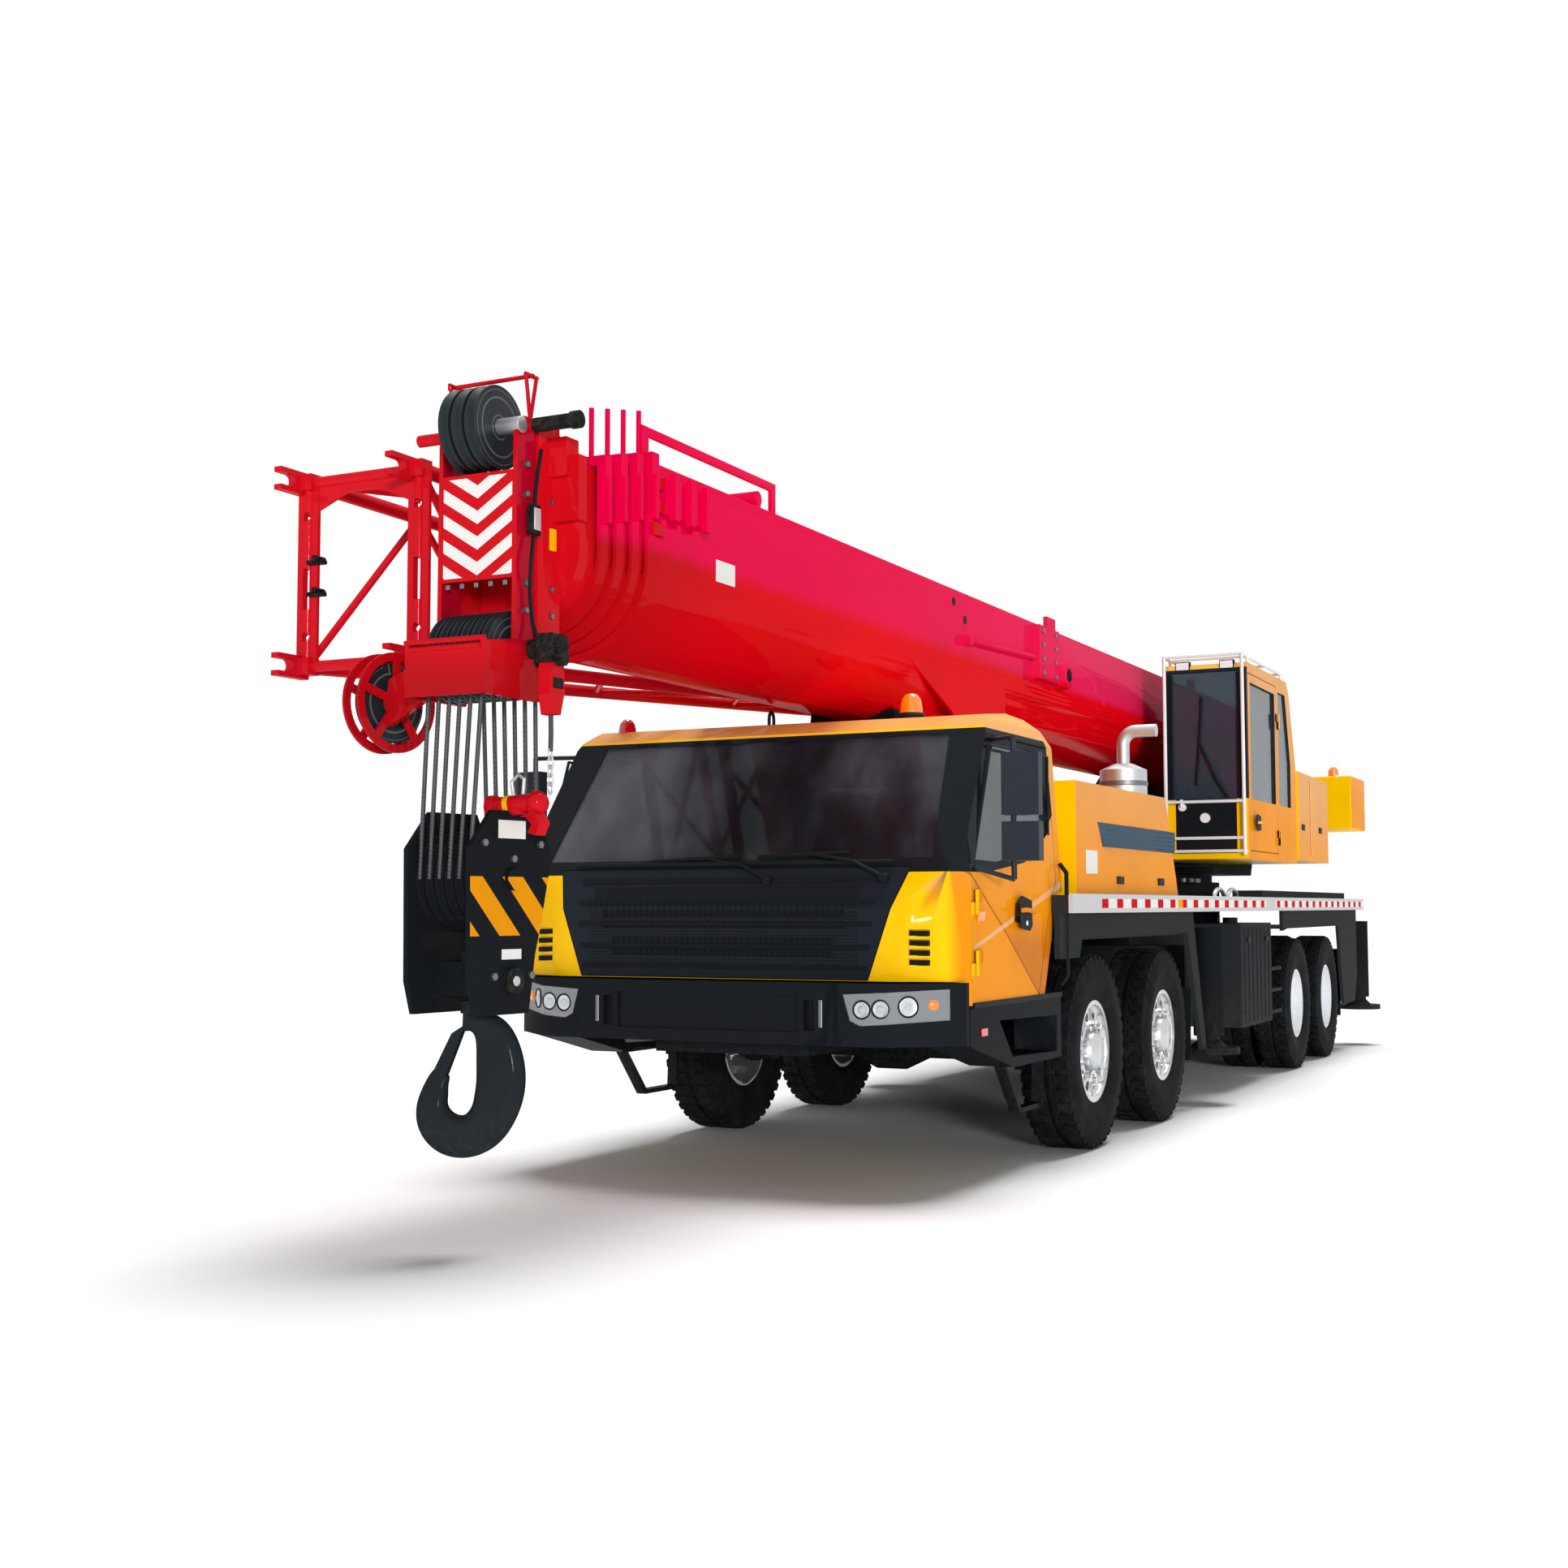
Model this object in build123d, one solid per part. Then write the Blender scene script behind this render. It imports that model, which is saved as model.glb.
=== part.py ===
from build123d import *
import math
import os

os.makedirs("parts", exist_ok=True)

# Four-axle truck crane with a five-section telescopic boom, at full size in millimetres.
# +X is the crane's left, -Y its front and +Z up. The origin is on the ground, midway between the
# front of the boom head and the back of the counterweight.

# ---- running gear ----
axle_y = {"1": -2450, "2": -980, "3": 3320, "4": 4670}
tyre_r = 550
rim_r = 285
steer_tyre_w = 300
twin_tyre_w = 272
twin_gap = 60
wheel_face_x = 1270
axle_r = 75
kingpin_x = 930
kingpin_r = 32
pin_clear = 0.05

# ---- carrier ----
rail_half_w = 430
rail_bottom = 700
rail_top = 1200
deck_half_w = 1375
deck_top = 1430
deck_h = 96
deck_rear = 6050
skirt_t = 30
skirt_bottom = 1170
joint_gap = 6
seat_gap = 0.3
hinge_r = 13
hinge_h = 60
hinge_out = 16

# ---- carrier cab ----
cab_half_w = 1250
cab_front = -4620
cab_rear = -3035
cab_floor = 900
cab_shoulder = cab_front + 180
cab_foot_rear = cab_rear - 305
cab_roof = 2385
wall = 45
glass_t = 8
bumper_front = cab_front - 140
bumper_bottom = 715
bumper_top = 1010
rail_front = cab_front + 120
deck_front = cab_rear - 195
girder_front = deck_front + 50
skirt_x = deck_half_w - 75

# ---- engine hood ----
hood_front = cab_rear + 110
hood_rear_top = hood_front + 1885
hood_rear_bottom = hood_front + 2175
hood_half_w = deck_half_w - 75
hood_top = deck_top + 632

# ---- turntable and what it carries ----
slew_y = 2850
ring_r = 640
ring_top = 1640
foot_y = 4750
foot_z = 2800
foot_pin_r = 60
lift_base_y = 2150
lift_base_z = 1850
lift_head_y = -1900
lift_head_z = 2290
lift_pin_r = 45
barrel_r = 130
rod_r = 85
tail_r = 4100
tail_half_w = 1300
tail_front = slew_y + 3100
tail_bottom = 2130
tail_top = 2650

# ---- boom ----
boom_half_w = 400
boom_bottom = 2440
boom_h = 830
boom_wall = 10
boom_front = -6000
boom_rear = 5150
collar_step = 90
section_gap = 22

# ---- hook ----
hang_x = -12
hang_y = -6600
swing_z = 2370
block_twist = -6
block_bottom = 950
block_top = 1750
fall_r = 9
fall_pitch = 52

# ---- outriggers ----
front_station = 350
rear_station = 6300
beam_w = 200
beam_h = 230
beam_z = 800
beam_wall = 20
beam_clear = 6
jack_x = 1245
jack_r = 75
jack_tube = 105
jack_stroke = 500


def block(x0, x1, y0, y1, z0, z1):
    """Box between two corners."""
    return Pos((x0 + x1) / 2, (y0 + y1) / 2, (z0 + z1) / 2) * Box(x1 - x0, y1 - y0, z1 - z0)


def pair(x0, x1, y0, y1, z0, z1):
    """The same box on the left and on the right."""
    return block(x0, x1, y0, y1, z0, z1) + block(-x1, -x0, y0, y1, z0, z1)


def plate_x(outline, x0, x1, radius=0, grow=0):
    """Outline of (y, z) points, grown or drawn in on every side, drawn out from x0 to x1."""
    line = FilletPolyline(*outline, radius=radius, close=True) if radius else Polyline(*outline, close=True)
    face = make_face(line)
    if grow:
        face = offset(face, amount=grow, kind=Kind.INTERSECTION)
    return extrude(Plane.YZ.offset(x0) * face, amount=x1 - x0)


def plate_y(outline, y0, y1, radius=0):
    """Outline of (x, z) points drawn out from y0 to y1."""
    points = [(x, y0, z) for x, z in outline]
    line = FilletPolyline(*points, radius=radius, close=True) if radius else Polyline(*points, close=True)
    return extrude(make_face(line), amount=y1 - y0, dir=(0, 1, 0))


def plate_z(outline, z0, z1, radius=0):
    """Outline of (x, y) points drawn out from z0 to z1."""
    points = [(x, y, z0) for x, y in outline]
    line = FilletPolyline(*points, radius=radius, close=True) if radius else Polyline(*points, close=True)
    return extrude(make_face(line), amount=z1 - z0, dir=(0, 0, 1))


def rod(start, end, radius):
    """Round bar between two points."""
    start, end = Vector(start), Vector(end)
    along = end - start
    plane = Plane(origin=start, z_dir=along)
    return plane * (Pos(0, 0, along.length / 2) * Cylinder(radius, along.length))


def rod_x(x0, x1, y, z, radius):
    """Round bar along X."""
    return rod((x0, y, z), (x1, y, z), radius)


def mirrored(shape):
    """A piece and its mirror image across the crane's middle."""
    return shape + mirror(shape, about=Plane.YZ)


def ring_x(profile, y, z):
    """Profile of (radius, x) points turned about an axis along X through (y, z)."""
    face = make_face(Polyline(*[(x, r, 0) for r, x in profile], close=True))
    return Pos(0, y, z) * revolve(face, Axis.X, 360)


def hinge(axis, along, out, heights, leaf, lift, gap):
    """Hinge rolls about a vertical axis, each on a leaf that reaches back to the surface."""
    def point(run, depth):
        return (axis[0] + along[0] * run - out[0] * depth, axis[1] + along[1] * run - out[1] * depth)

    bridge = [point(0, 0), point(leaf, 0), point(leaf, gap - 1), point(0, gap - 1)]
    foot = [point(leaf - 40, 0), point(leaf, 0), point(leaf, gap + 0.5), point(leaf - 40, gap + 0.5)]
    rolls = None
    for z in heights:
        low, high = z + lift - hinge_h / 2, z + lift + hinge_h / 2
        roll = Pos(*axis, z + lift) * Cylinder(hinge_r, hinge_h)
        roll += plate_z(bridge, low, high) + plate_z(foot, low, high)
        rolls = roll if rolls is None else rolls + roll
    return rolls


nodes = {}

# ---- outrigger beams and jacks ----
beam_pitch = beam_w + 2 * beam_clear + beam_wall
box_half_d = beam_pitch / 2 + beam_w / 2 + beam_clear + beam_wall
box_half_h = beam_h / 2 + beam_clear + beam_wall
box_half_w = jack_x - jack_tube - 30
jack_top = beam_z + 420
jack_bottom = beam_z - 330
float_r = 210
float_h = 45
float_z = 350

# name: y of its housing, side of the crane, side of the housing
outriggers = {
    "front_left": (front_station, 1, -1),
    "front_right": (front_station, -1, 1),
    "rear_left": (rear_station, 1, 1),
    "rear_right": (rear_station, -1, -1),
}


def outrigger_housing(station):
    """Cross box that both of a station's beams slide in."""
    return block(-box_half_w, box_half_w, station - box_half_d, station + box_half_d,
                 beam_z - box_half_h, beam_z + box_half_h)


def beam_channel(y):
    """Space that one beam slides in."""
    return block(-box_half_w - 1, box_half_w + 1, y - beam_w / 2 - beam_clear, y + beam_w / 2 + beam_clear,
                 beam_z - beam_h / 2 - seat_gap, beam_z + beam_h / 2 + beam_clear)


for name, (station, side, row) in outriggers.items():
    y = station + row * beam_pitch / 2
    inner = -side * (box_half_w - 60)
    outer = side * (jack_x - 20)
    beam = block(min(inner, outer), max(inner, outer), y - beam_w / 2, y + beam_w / 2,
                 beam_z - beam_h / 2, beam_z + beam_h / 2)
    tube = Pos(side * jack_x, y, (jack_top + jack_bottom) / 2) * Cylinder(jack_tube, jack_top - jack_bottom)
    bore = Pos(side * jack_x, y, (jack_top + jack_bottom) / 2 - 30) * Cylinder(
        jack_r + seat_gap, jack_top - jack_bottom)
    nodes[f"beam_{name}"] = beam + tube - bore
    stem_top = jack_bottom + jack_stroke + 120
    stem = Pos(side * jack_x, y, (stem_top + float_z) / 2) * Cylinder(jack_r, stem_top - float_z)
    foot = Pos(side * jack_x, y, float_z + float_h / 2) * Cylinder(float_r, float_h)
    cone = Pos(side * jack_x, y, float_z + float_h + 25) * Cone(jack_r + 50, jack_r, 50)
    nodes[f"jack_{name}"] = stem + foot + cone

# ---- chassis frame ----
pedestal_r = ring_r + 60
rest_y = (cab_rear + hood_front) / 2
rest_t = 80
chassis = block(-rail_half_w, rail_half_w, girder_front, rear_station - box_half_d, rail_bottom, rail_top)
for side in (-1, 1):
    x0, x1 = sorted((side * 330, side * rail_half_w))
    chassis += block(x0, x1, rail_front, girder_front + 50, rail_bottom - 60, cab_floor - 40)
chassis += block(-rail_half_w, rail_half_w, rail_front, rail_front + 120, rail_bottom - 60, cab_floor - 40)
chassis += Pos(0, slew_y, (rail_top + ring_top - 70) / 2) * Cylinder(pedestal_r, ring_top - 70 - rail_top)
chassis += Pos(0, slew_y, ring_top - 70 / 2 - joint_gap / 2) * Cylinder(ring_r, 70 - joint_gap)
for station in (front_station, rear_station):
    chassis += outrigger_housing(station)
for station, side, row in outriggers.values():
    chassis -= beam_channel(station + row * beam_pitch / 2)
for y in (-4250, -3350):
    chassis += pair(330, rail_half_w, y - 50, y + 50, cab_floor - 41, cab_floor)
# boom rest: an A-shaped portal with a saddle that fits the round underside of the boom
rest = plate_y([(-420, rail_top - 20), (-260, boom_bottom + 60), (260, boom_bottom + 60),
                (420, rail_top - 20)],
               rest_y - rest_t / 2, rest_y + rest_t / 2)
rest -= plate_y([(-300, rail_top + 80), (-190, boom_bottom - 180), (190, boom_bottom - 180),
                 (300, rail_top + 80)], rest_y - rest_t, rest_y + rest_t)
boom_round_z = boom_bottom + boom_half_w
rest -= rod((0, rest_y - rest_t, boom_round_z), (0, rest_y + rest_t, boom_round_z), boom_half_w + seat_gap)
chassis += rest
nodes["chassis_frame"] = chassis

# ---- axles ----
steer_wheel_x = wheel_face_x - steer_tyre_w / 2
twin_outer_x = wheel_face_x - twin_tyre_w / 2
twin_inner_x = twin_outer_x - twin_tyre_w - twin_gap
fist_h = 150
fork_half = fist_h / 2 + joint_gap + 36
diff_r = 145
spring_x = 380
spring_half = 520
stub_r = 62


def axle(y, steers):
    """Axle tube with its diff bowl, leaf springs and, on a steered axle, forks with kingpins."""
    reach = kingpin_x - 100 if steers else twin_inner_x - twin_tyre_w / 2 - 60
    beam = ring_x([(0, -reach), (axle_r, -reach), (axle_r, -240), (diff_r, -90), (diff_r, 90), (axle_r, 240),
                   (axle_r, reach), (0, reach)], y, tyre_r)
    for side in (-1, 1):
        x = side * spring_x
        beam += plate_x([(y - spring_half, rail_bottom), (y - spring_half, rail_bottom - 35),
                         (y - 60, tyre_r + 20), (y + 60, tyre_r + 20), (y + spring_half, rail_bottom - 35),
                         (y + spring_half, rail_bottom)], x - 40, x + 40)
        if steers:
            x0, x1 = sorted((side * (kingpin_x - 150), side * (kingpin_x + 45)))
            fork = block(x0, x1, y - 50, y + 50, tyre_r - fork_half, tyre_r + fork_half)
            x0, x1 = sorted((side * (kingpin_x - 95), side * (kingpin_x + 60)))
            fork -= block(x0, x1, y - 60, y + 60, tyre_r - fist_h / 2 - joint_gap, tyre_r + fist_h / 2
                          + joint_gap)
            beam += fork
            beam += Pos(side * kingpin_x, y, tyre_r) * Cylinder(kingpin_r, 2 * fork_half + 24)
        else:
            x0, x1 = sorted((side * (reach - 5), side * (wheel_face_x - 170)))
            beam += rod_x(x0, x1, y, tyre_r, stub_r)
    return beam


nodes["axles"] = Compound([axle(y, name in "12") for name, y in axle_y.items()])

# ---- knuckles ----
for name in "12":
    for side_name, side in (("left", 1), ("right", -1)):
        y = axle_y[name]
        x = side * kingpin_x
        knuckle = Pos(x, y, tyre_r) * Cylinder(62, fist_h)
        x0, x1 = sorted((side * (kingpin_x + 30), side * (steer_wheel_x + 60)))
        knuckle += rod_x(x0, x1, y, tyre_r, 55)
        arm = plate_z([(x - 22, y), (x + 22, y), (x + 22 - side * 40, y + 300),
                       (x - 22 - side * 40, y + 300)],
                      tyre_r - 70, tyre_r - 40)
        knuckle += arm
        knuckle -= Pos(x, y, tyre_r) * Cylinder(kingpin_r + pin_clear, fist_h + 10)
        nodes[f"knuckle_{name}_{side_name}"] = knuckle


# ---- wheels ----
def tyre_section(middle, width):
    """(radius, x) outline of a tyre with a rim well inside it."""
    half = width / 2
    return [(rim_r, middle - half + 30), (rim_r + 60, middle - half + 4), (tyre_r - 110, middle - half),
            (tyre_r - 30, middle - half + 14), (tyre_r, middle - half + 40),
            (tyre_r, middle + half - 40), (tyre_r - 30, middle + half - 14), (tyre_r - 110, middle + half),
            (rim_r + 60, middle + half - 4), (rim_r, middle + half - 30)]


def steer_wheel(y, side):
    """Single wheel: tyre, rim, dished disc and a hub that stands out."""
    middle = steer_wheel_x
    wheel = ring_x(tyre_section(middle, steer_tyre_w), y, tyre_r)
    wheel += ring_x([(rim_r - 22, middle - 120), (rim_r + 4, middle - 120), (rim_r + 4, middle + 125),
                     (rim_r - 22, middle + 125)], y, tyre_r)
    wheel += ring_x([(56, middle + 40), (rim_r - 15, middle + 70), (rim_r - 15, middle + 90),
                     (150, middle + 105),
                     (150, middle + 62), (56, middle + 62)], y, tyre_r)
    wheel += ring_x([(56 + pin_clear, middle - 60), (100, middle - 60), (110, middle + 60),
                     (110, middle + 130),
                     (80, middle + 160), (0, middle + 160), (0, middle + 70), (56 + pin_clear, middle + 70)],
                    y, tyre_r)
    for k in range(10):
        turn = math.radians(36 * k)
        wheel -= rod_x(middle, middle + 140, y + 205 * math.cos(turn), tyre_r + 205 * math.sin(turn), 30)
    return wheel if side > 0 else mirror(wheel, about=Plane.YZ)


def twin_wheel(y, side):
    """Two tyres on one hub, with the outer rim dished inwards."""
    wheel = None
    for middle in (twin_outer_x, twin_inner_x):
        one = ring_x(tyre_section(middle, twin_tyre_w), y, tyre_r)
        one += ring_x([(rim_r - 22, middle - 105), (rim_r + 4, middle - 105), (rim_r + 4, middle + 110),
                       (rim_r - 22, middle + 110)], y, tyre_r)
        wheel = one if wheel is None else wheel + one
    disc_x = (twin_outer_x + twin_inner_x) / 2
    wheel += ring_x([(63, disc_x - 20), (rim_r - 10, disc_x - 70), (rim_r - 10, disc_x + 70),
                     (190, disc_x + 20),
                     (63, disc_x + 20)], y, tyre_r)
    wheel += ring_x([(62 + pin_clear, disc_x - 120), (100, disc_x - 120), (100, disc_x + 20),
                     (120, disc_x + 40),
                     (120, disc_x + 150), (90, disc_x + 190), (0, disc_x + 190), (0, wheel_face_x - 160),
                     (62 + pin_clear, wheel_face_x - 160)], y, tyre_r)
    return wheel if side > 0 else mirror(wheel, about=Plane.YZ)


for name, y in axle_y.items():
    for side_name, side in (("left", 1), ("right", -1)):
        make = steer_wheel if name in "12" else twin_wheel
        nodes[f"wheel_{name}_{side_name}"] = make(y, side)

# ---- deck and mudguards ----
bay_half_w = 700
deck = block(-deck_half_w, deck_half_w, deck_front, deck_rear, deck_top - deck_h, deck_top)
deck -= block(-bay_half_w, bay_half_w, deck_front - 1, hood_rear_top - 60, deck_top - deck_h - 1,
              deck_top + 1)
deck -= Pos(0, slew_y, deck_top) * Cylinder(pedestal_r + seat_gap, 4 * deck_h)
# notch that the cab's rear reaches into
deck -= block(-cab_half_w - 12, cab_half_w + 12, deck_front - 1, cab_rear - 65, deck_top - deck_h - 1,
              deck_top + 1)
skirt_top = deck_top - deck_h
arch_y = {"front": axle_y["2"] + 450, "mid": axle_y["3"] - 760, "rear": axle_y["4"] + 410}
skirt_outlines = {
    "front": [(deck_front, skirt_top), (deck_front, 1090), (deck_front + 350, 1090),
              (deck_front + 400, skirt_bottom + 25), (arch_y["front"], skirt_bottom + 25),
              (arch_y["front"] + 360, 400), (arch_y["front"] + 470, 400), (arch_y["front"] + 150, skirt_top)],
    "rear": [(arch_y["mid"], skirt_top), (arch_y["mid"], skirt_bottom),
             (arch_y["mid"] + 200, skirt_bottom + 20),
             (arch_y["rear"], skirt_bottom + 20), (arch_y["rear"] + 220, 450), (arch_y["rear"] + 820, 450),
             (deck_rear, 700), (deck_rear, skirt_top)],
}
for outline in skirt_outlines.values():
    deck += mirrored(plate_x(outline, skirt_x - skirt_t, skirt_x))
# edge strip that stands out along each side, and a folded lip over each skirt
deck += pair(deck_half_w - 20, deck_half_w, deck_front, deck_rear, deck_top - deck_h, deck_top + 8)
# mudguards: the top of each arch reaches in to the frame, and stays over the turned wheels
guards = ((deck_front + 20, arch_y["front"] - 30), (arch_y["mid"] + 20, arch_y["rear"] - 20))
for y0, y1 in guards:
    deck += pair(rail_half_w, skirt_x - skirt_t + 1, y0, y1, skirt_bottom + 15, skirt_bottom + 27)
# flat tool lockers on the deck beside the turntable
deck += pair(1010, deck_half_w - 130, slew_y - 800, slew_y + 2900, deck_top - 1, deck_top + 65)
nodes["deck"] = deck

# ---- front bumper, headlamps and cab steps ----
bumper_rear = cab_shoulder - joint_gap
bumper_t = 60


def bumper_body(inset, z0, z1):
    """Outer form of the bumper drawn in by an inset, between two heights."""
    w, front = cab_half_w - inset, bumper_front + inset
    plan = [(-w, bumper_rear + inset), (-w, bumper_rear - 40 + inset / 2), (-w + 290, front + 20),
            (-w + 550, front),
            (w - 550, front), (w - 290, front + 20), (w, bumper_rear - 40 + inset / 2),
            (w, bumper_rear + inset)]
    return plate_z(plan, z0, z1)


lamp_t = 24
lamp_outline = [(cab_half_w - 515, bumper_top - 52), (cab_half_w - 60, bumper_top - 28),
                (cab_half_w - 60, bumper_bottom + 122), (cab_half_w - 430, bumper_bottom + 97),
                (cab_half_w - 480, bumper_bottom + 120)]
lamp_zone = mirrored(plate_y(lamp_outline, bumper_front - 50, bumper_rear - 45))
lamp_skin = bumper_body(0, bumper_bottom, bumper_top) - bumper_body(lamp_t, bumper_bottom, bumper_top)
bumper = bumper_body(0, bumper_bottom, bumper_top)
bumper -= plate_z([(-cab_half_w + bumper_t, bumper_rear + 1),
                   (-cab_half_w + 350, bumper_front + bumper_t + 20),
                   (cab_half_w - 350, bumper_front + bumper_t + 20),
                   (cab_half_w - bumper_t, bumper_rear + 1)],
                  bumper_bottom - 1, bumper_top - bumper_t)
bumper -= lamp_zone & lamp_skin
# sunk middle panel between two towing slots
slot_x = cab_half_w - 690
bumper -= block(-slot_x + 60, slot_x - 60, bumper_front - 1, bumper_front + 18, bumper_bottom + 60,
                bumper_top - 60)
bumper -= pair(slot_x - 30, slot_x + 25, bumper_front - 1, bumper_front + 35, bumper_bottom + 70,
               bumper_top - 80)
bumper += pair(330, rail_half_w, bumper_front + bumper_t, rail_front, bumper_bottom + 10, cab_floor - 40)
step_x = cab_half_w - 240
step_front = bumper_rear + 10
step_bend = step_front + 615
step_rear = axle_y["1"] - 620
step_bottom = bumper_bottom - 150
step_top = cab_floor - 15
housing = plate_x([(step_front, step_top), (step_front, bumper_bottom - 8), (step_bend, step_bottom),
                   (step_rear, step_bottom), (step_rear, step_top)], step_x, cab_half_w)
housing -= plate_x([(step_bend - 210, step_top - 75), (step_rear - 70, step_top - 95),
                    (step_rear - 70, step_bottom + 35), (step_bend - 20, step_bottom + 55)], step_x - 1,
                    cab_half_w + 1)
bumper += mirrored(housing)
hanger_y = step_rear - 25
hanger = plate_x([(hanger_y - 625, step_bottom + 2), (hanger_y - 385, step_bottom - 265),
                  (hanger_y - 15, step_bottom - 265), (hanger_y, step_bottom + 2),
                  (hanger_y - 25, step_bottom + 2),
                  (hanger_y - 40, step_bottom - 240), (hanger_y - 370, step_bottom - 240),
                  (hanger_y - 590, step_bottom + 2)], step_x + 90, step_x + 150)
bumper += mirrored(hanger)
for y in (step_bend + 130, step_rear - 50):
    bumper += pair(rail_half_w, step_x + 1, y - 40, y + 40, cab_floor - 120, step_top)
nodes["front_bumper"] = bumper
nodes["headlamps"] = lamp_zone & (bumper_body(3, bumper_bottom, bumper_top)
                                  - bumper_body(lamp_t, bumper_bottom, bumper_top))

# ---- carrier cab ----
screen_foot = (cab_front + 110, 1580)
screen_head = (cab_front + 590, 2275)


def cab_body(inset):
    """Outer form of the carrier cab, or its hollow when inset is the wall."""
    front, rear = cab_front + inset, cab_rear - inset
    foot_rear = cab_foot_rear - inset
    nose_z = bumper_top + joint_gap + inset
    side = plate_x([(foot_rear, cab_floor + inset), (cab_shoulder + inset, cab_floor + inset),
                    (cab_shoulder + inset, nose_z), (front, nose_z), (front + 4, 1360),
                    (screen_foot[0] + inset, screen_foot[1]), (screen_head[0] + inset, screen_head[1]),
                    (screen_head[0] + 130 + inset / 2, cab_roof - 42 - inset), (rear - 450, cab_roof - inset),
                    (rear - 190, cab_roof - 12 - inset), (rear - 60, cab_roof - 70 - inset / 2),
                    (rear, cab_roof - 160 - inset / 2), (rear, deck_top + 16 + inset),
                    (rear - 88, deck_top + 14 + inset), (rear - 96, deck_top - 40 + inset)], -2000, 2000)
    w = cab_half_w - inset
    plan = plate_z([(-w, rear + 10), (-w, cab_front + 210), (-w + 70, cab_front + 95 + inset / 3),
                    (-w + 270, cab_front + 20 + inset), (-w + 420, front - 20), (w - 420, front - 20),
                    (w - 270, cab_front + 20 + inset), (w - 70, cab_front + 95 + inset / 3),
                    (w, cab_front + 210),
                    (w, rear + 10)], 0, 4000)
    end = plate_y([(-w, 0), (-w, 1500), (-w + 48, cab_roof - 150), (-w + 90, cab_roof - 65 - inset / 2),
                   (-w + 170, cab_roof + 20), (w - 170, cab_roof + 20), (w - 90, cab_roof - 65 - inset / 2),
                   (w - 48, cab_roof - 150), (w, 1500), (w, 0)], -9000, 3000)
    return side & plan & end


# glass and panel outlines: ahead as (x, z), at the side as (y, z)
screen_outline = [(160 - cab_half_w, 1605), (240 - cab_half_w, 2235), (cab_half_w - 240, 2235),
                  (cab_half_w - 160, 1605)]
side_window = [(cab_front + 285, 1595), (cab_front + 640, 2175), (cab_rear - 350, 2190),
               (cab_rear - 160, 1800),
               (cab_rear - 180, 1755), (cab_rear - 390, 1665), (cab_front + 640, 1590)]
door_front = cab_front + 250
door_outline = [(door_front, 905), (door_front, 1545), (cab_front + 640, 2225), (cab_rear - 90, 2225),
                (cab_rear - 90, 1500), (cab_rear - 185, 1400), (cab_foot_rear - 90, 905)]
door_inner_x = cab_half_w - 140
door_top = 2250


def door_zone(shape):
    """The part of a shape at the cab's two sides."""
    return shape & pair(door_inner_x, 2000, cab_shoulder + 1, cab_rear - wall - 5, cab_floor, door_top)


cab_outer = cab_body(0)
cab_shell = cab_outer - cab_body(wall)
screen_hole = plate_y(screen_outline, cab_front - 500, screen_head[0] + 80)
rear_window = block(-700, 700, cab_rear - 2 * wall, cab_rear + wall, 1500, 2050)
door_prism = plate_x(door_outline, -2000, 2000)
window_prism = plate_x(side_window, -2000, 2000)
interior_floor = cab_floor + wall

# black panel let into the nose, with two rows of slots
panel_t = 24
panel_outline = [(-985, 1560), (-960, 1490), (-800, bumper_top + 12), (800, bumper_top + 12), (960, 1490),
                 (985, 1560)]
panel_grown = [(-991, 1564), (-966, 1488), (-805, bumper_top + 8), (805, bumper_top + 8), (966, 1488),
               (991, 1564)]
nose_skin = cab_outer - cab_body(panel_t)
panel = plate_y(panel_outline, cab_front - 200, cab_front + 260) & nose_skin
for row_z, row_w in ((1175, 1240), (1310, 1360)):
    panel -= block(-row_w / 2, row_w / 2, cab_front - 200, cab_front + 14, row_z - 48, row_z + 48)
    panel += block(-row_w / 2 - 2, row_w / 2 + 2, cab_front + 2, cab_front + 15, row_z - 9, row_z + 9)
nodes["front_grille"] = panel
# louvred vents in the yellow corners
louvre_z = [bumper_top + 84 + 46 * k for k in range(4)]
cab = cab_shell - screen_hole - rear_window - door_zone(door_prism)
cab -= plate_y(panel_grown, cab_front - 200, cab_front + 260) & nose_skin
for z in louvre_z:
    cab -= pair(1002, 1096, cab_front - 40, cab_front + 66, z, z + 30)

# doors: the side skin inside the cut, drawn in by the gap, with the window let into it
door_skin = door_zone(cab_shell & plate_x(door_outline, -2000, 2000, grow=-joint_gap))
door_frames = door_skin - window_prism
# grip recess behind each outer handle
grip = [(cab_rear - 770, 1290), (cab_rear - 750, 1385), (cab_rear - 620, 1395), (cab_rear - 640, 1285)]
door_frames -= mirrored(plate_x(grip, cab_half_w - 22, cab_half_w + 5))
door_panes = door_zone((cab_body(16) - cab_body(16 + glass_t)) & window_prism)
left_half = block(0, 3000, -9000, 3000, 0, 4000)
door_axis = (cab_half_w + hinge_out, door_front)
hinge_z = (1130, 1420)
door_frames += mirrored(hinge(door_axis, (0, 1), (1, 0), hinge_z, 75, 0, hinge_out))
cab += mirrored(hinge(door_axis, (0, -1), (1, 0), hinge_z, 45, -hinge_h - seat_gap, hinge_out))
nodes["carrier_cab"] = cab
nodes["cab_door_left"] = door_frames & left_half
nodes["door_glass_left"] = door_panes & left_half
nodes["cab_door_right"] = door_frames - left_half
nodes["door_glass_right"] = door_panes - left_half

screen = (cab_body(14) - cab_body(14 + glass_t)) & screen_hole
rear_pane = block(-700, 700, cab_rear - wall / 2, cab_rear - wall / 2 + glass_t, 1500, 2050)
nodes["cab_glass"] = screen + rear_pane

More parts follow.
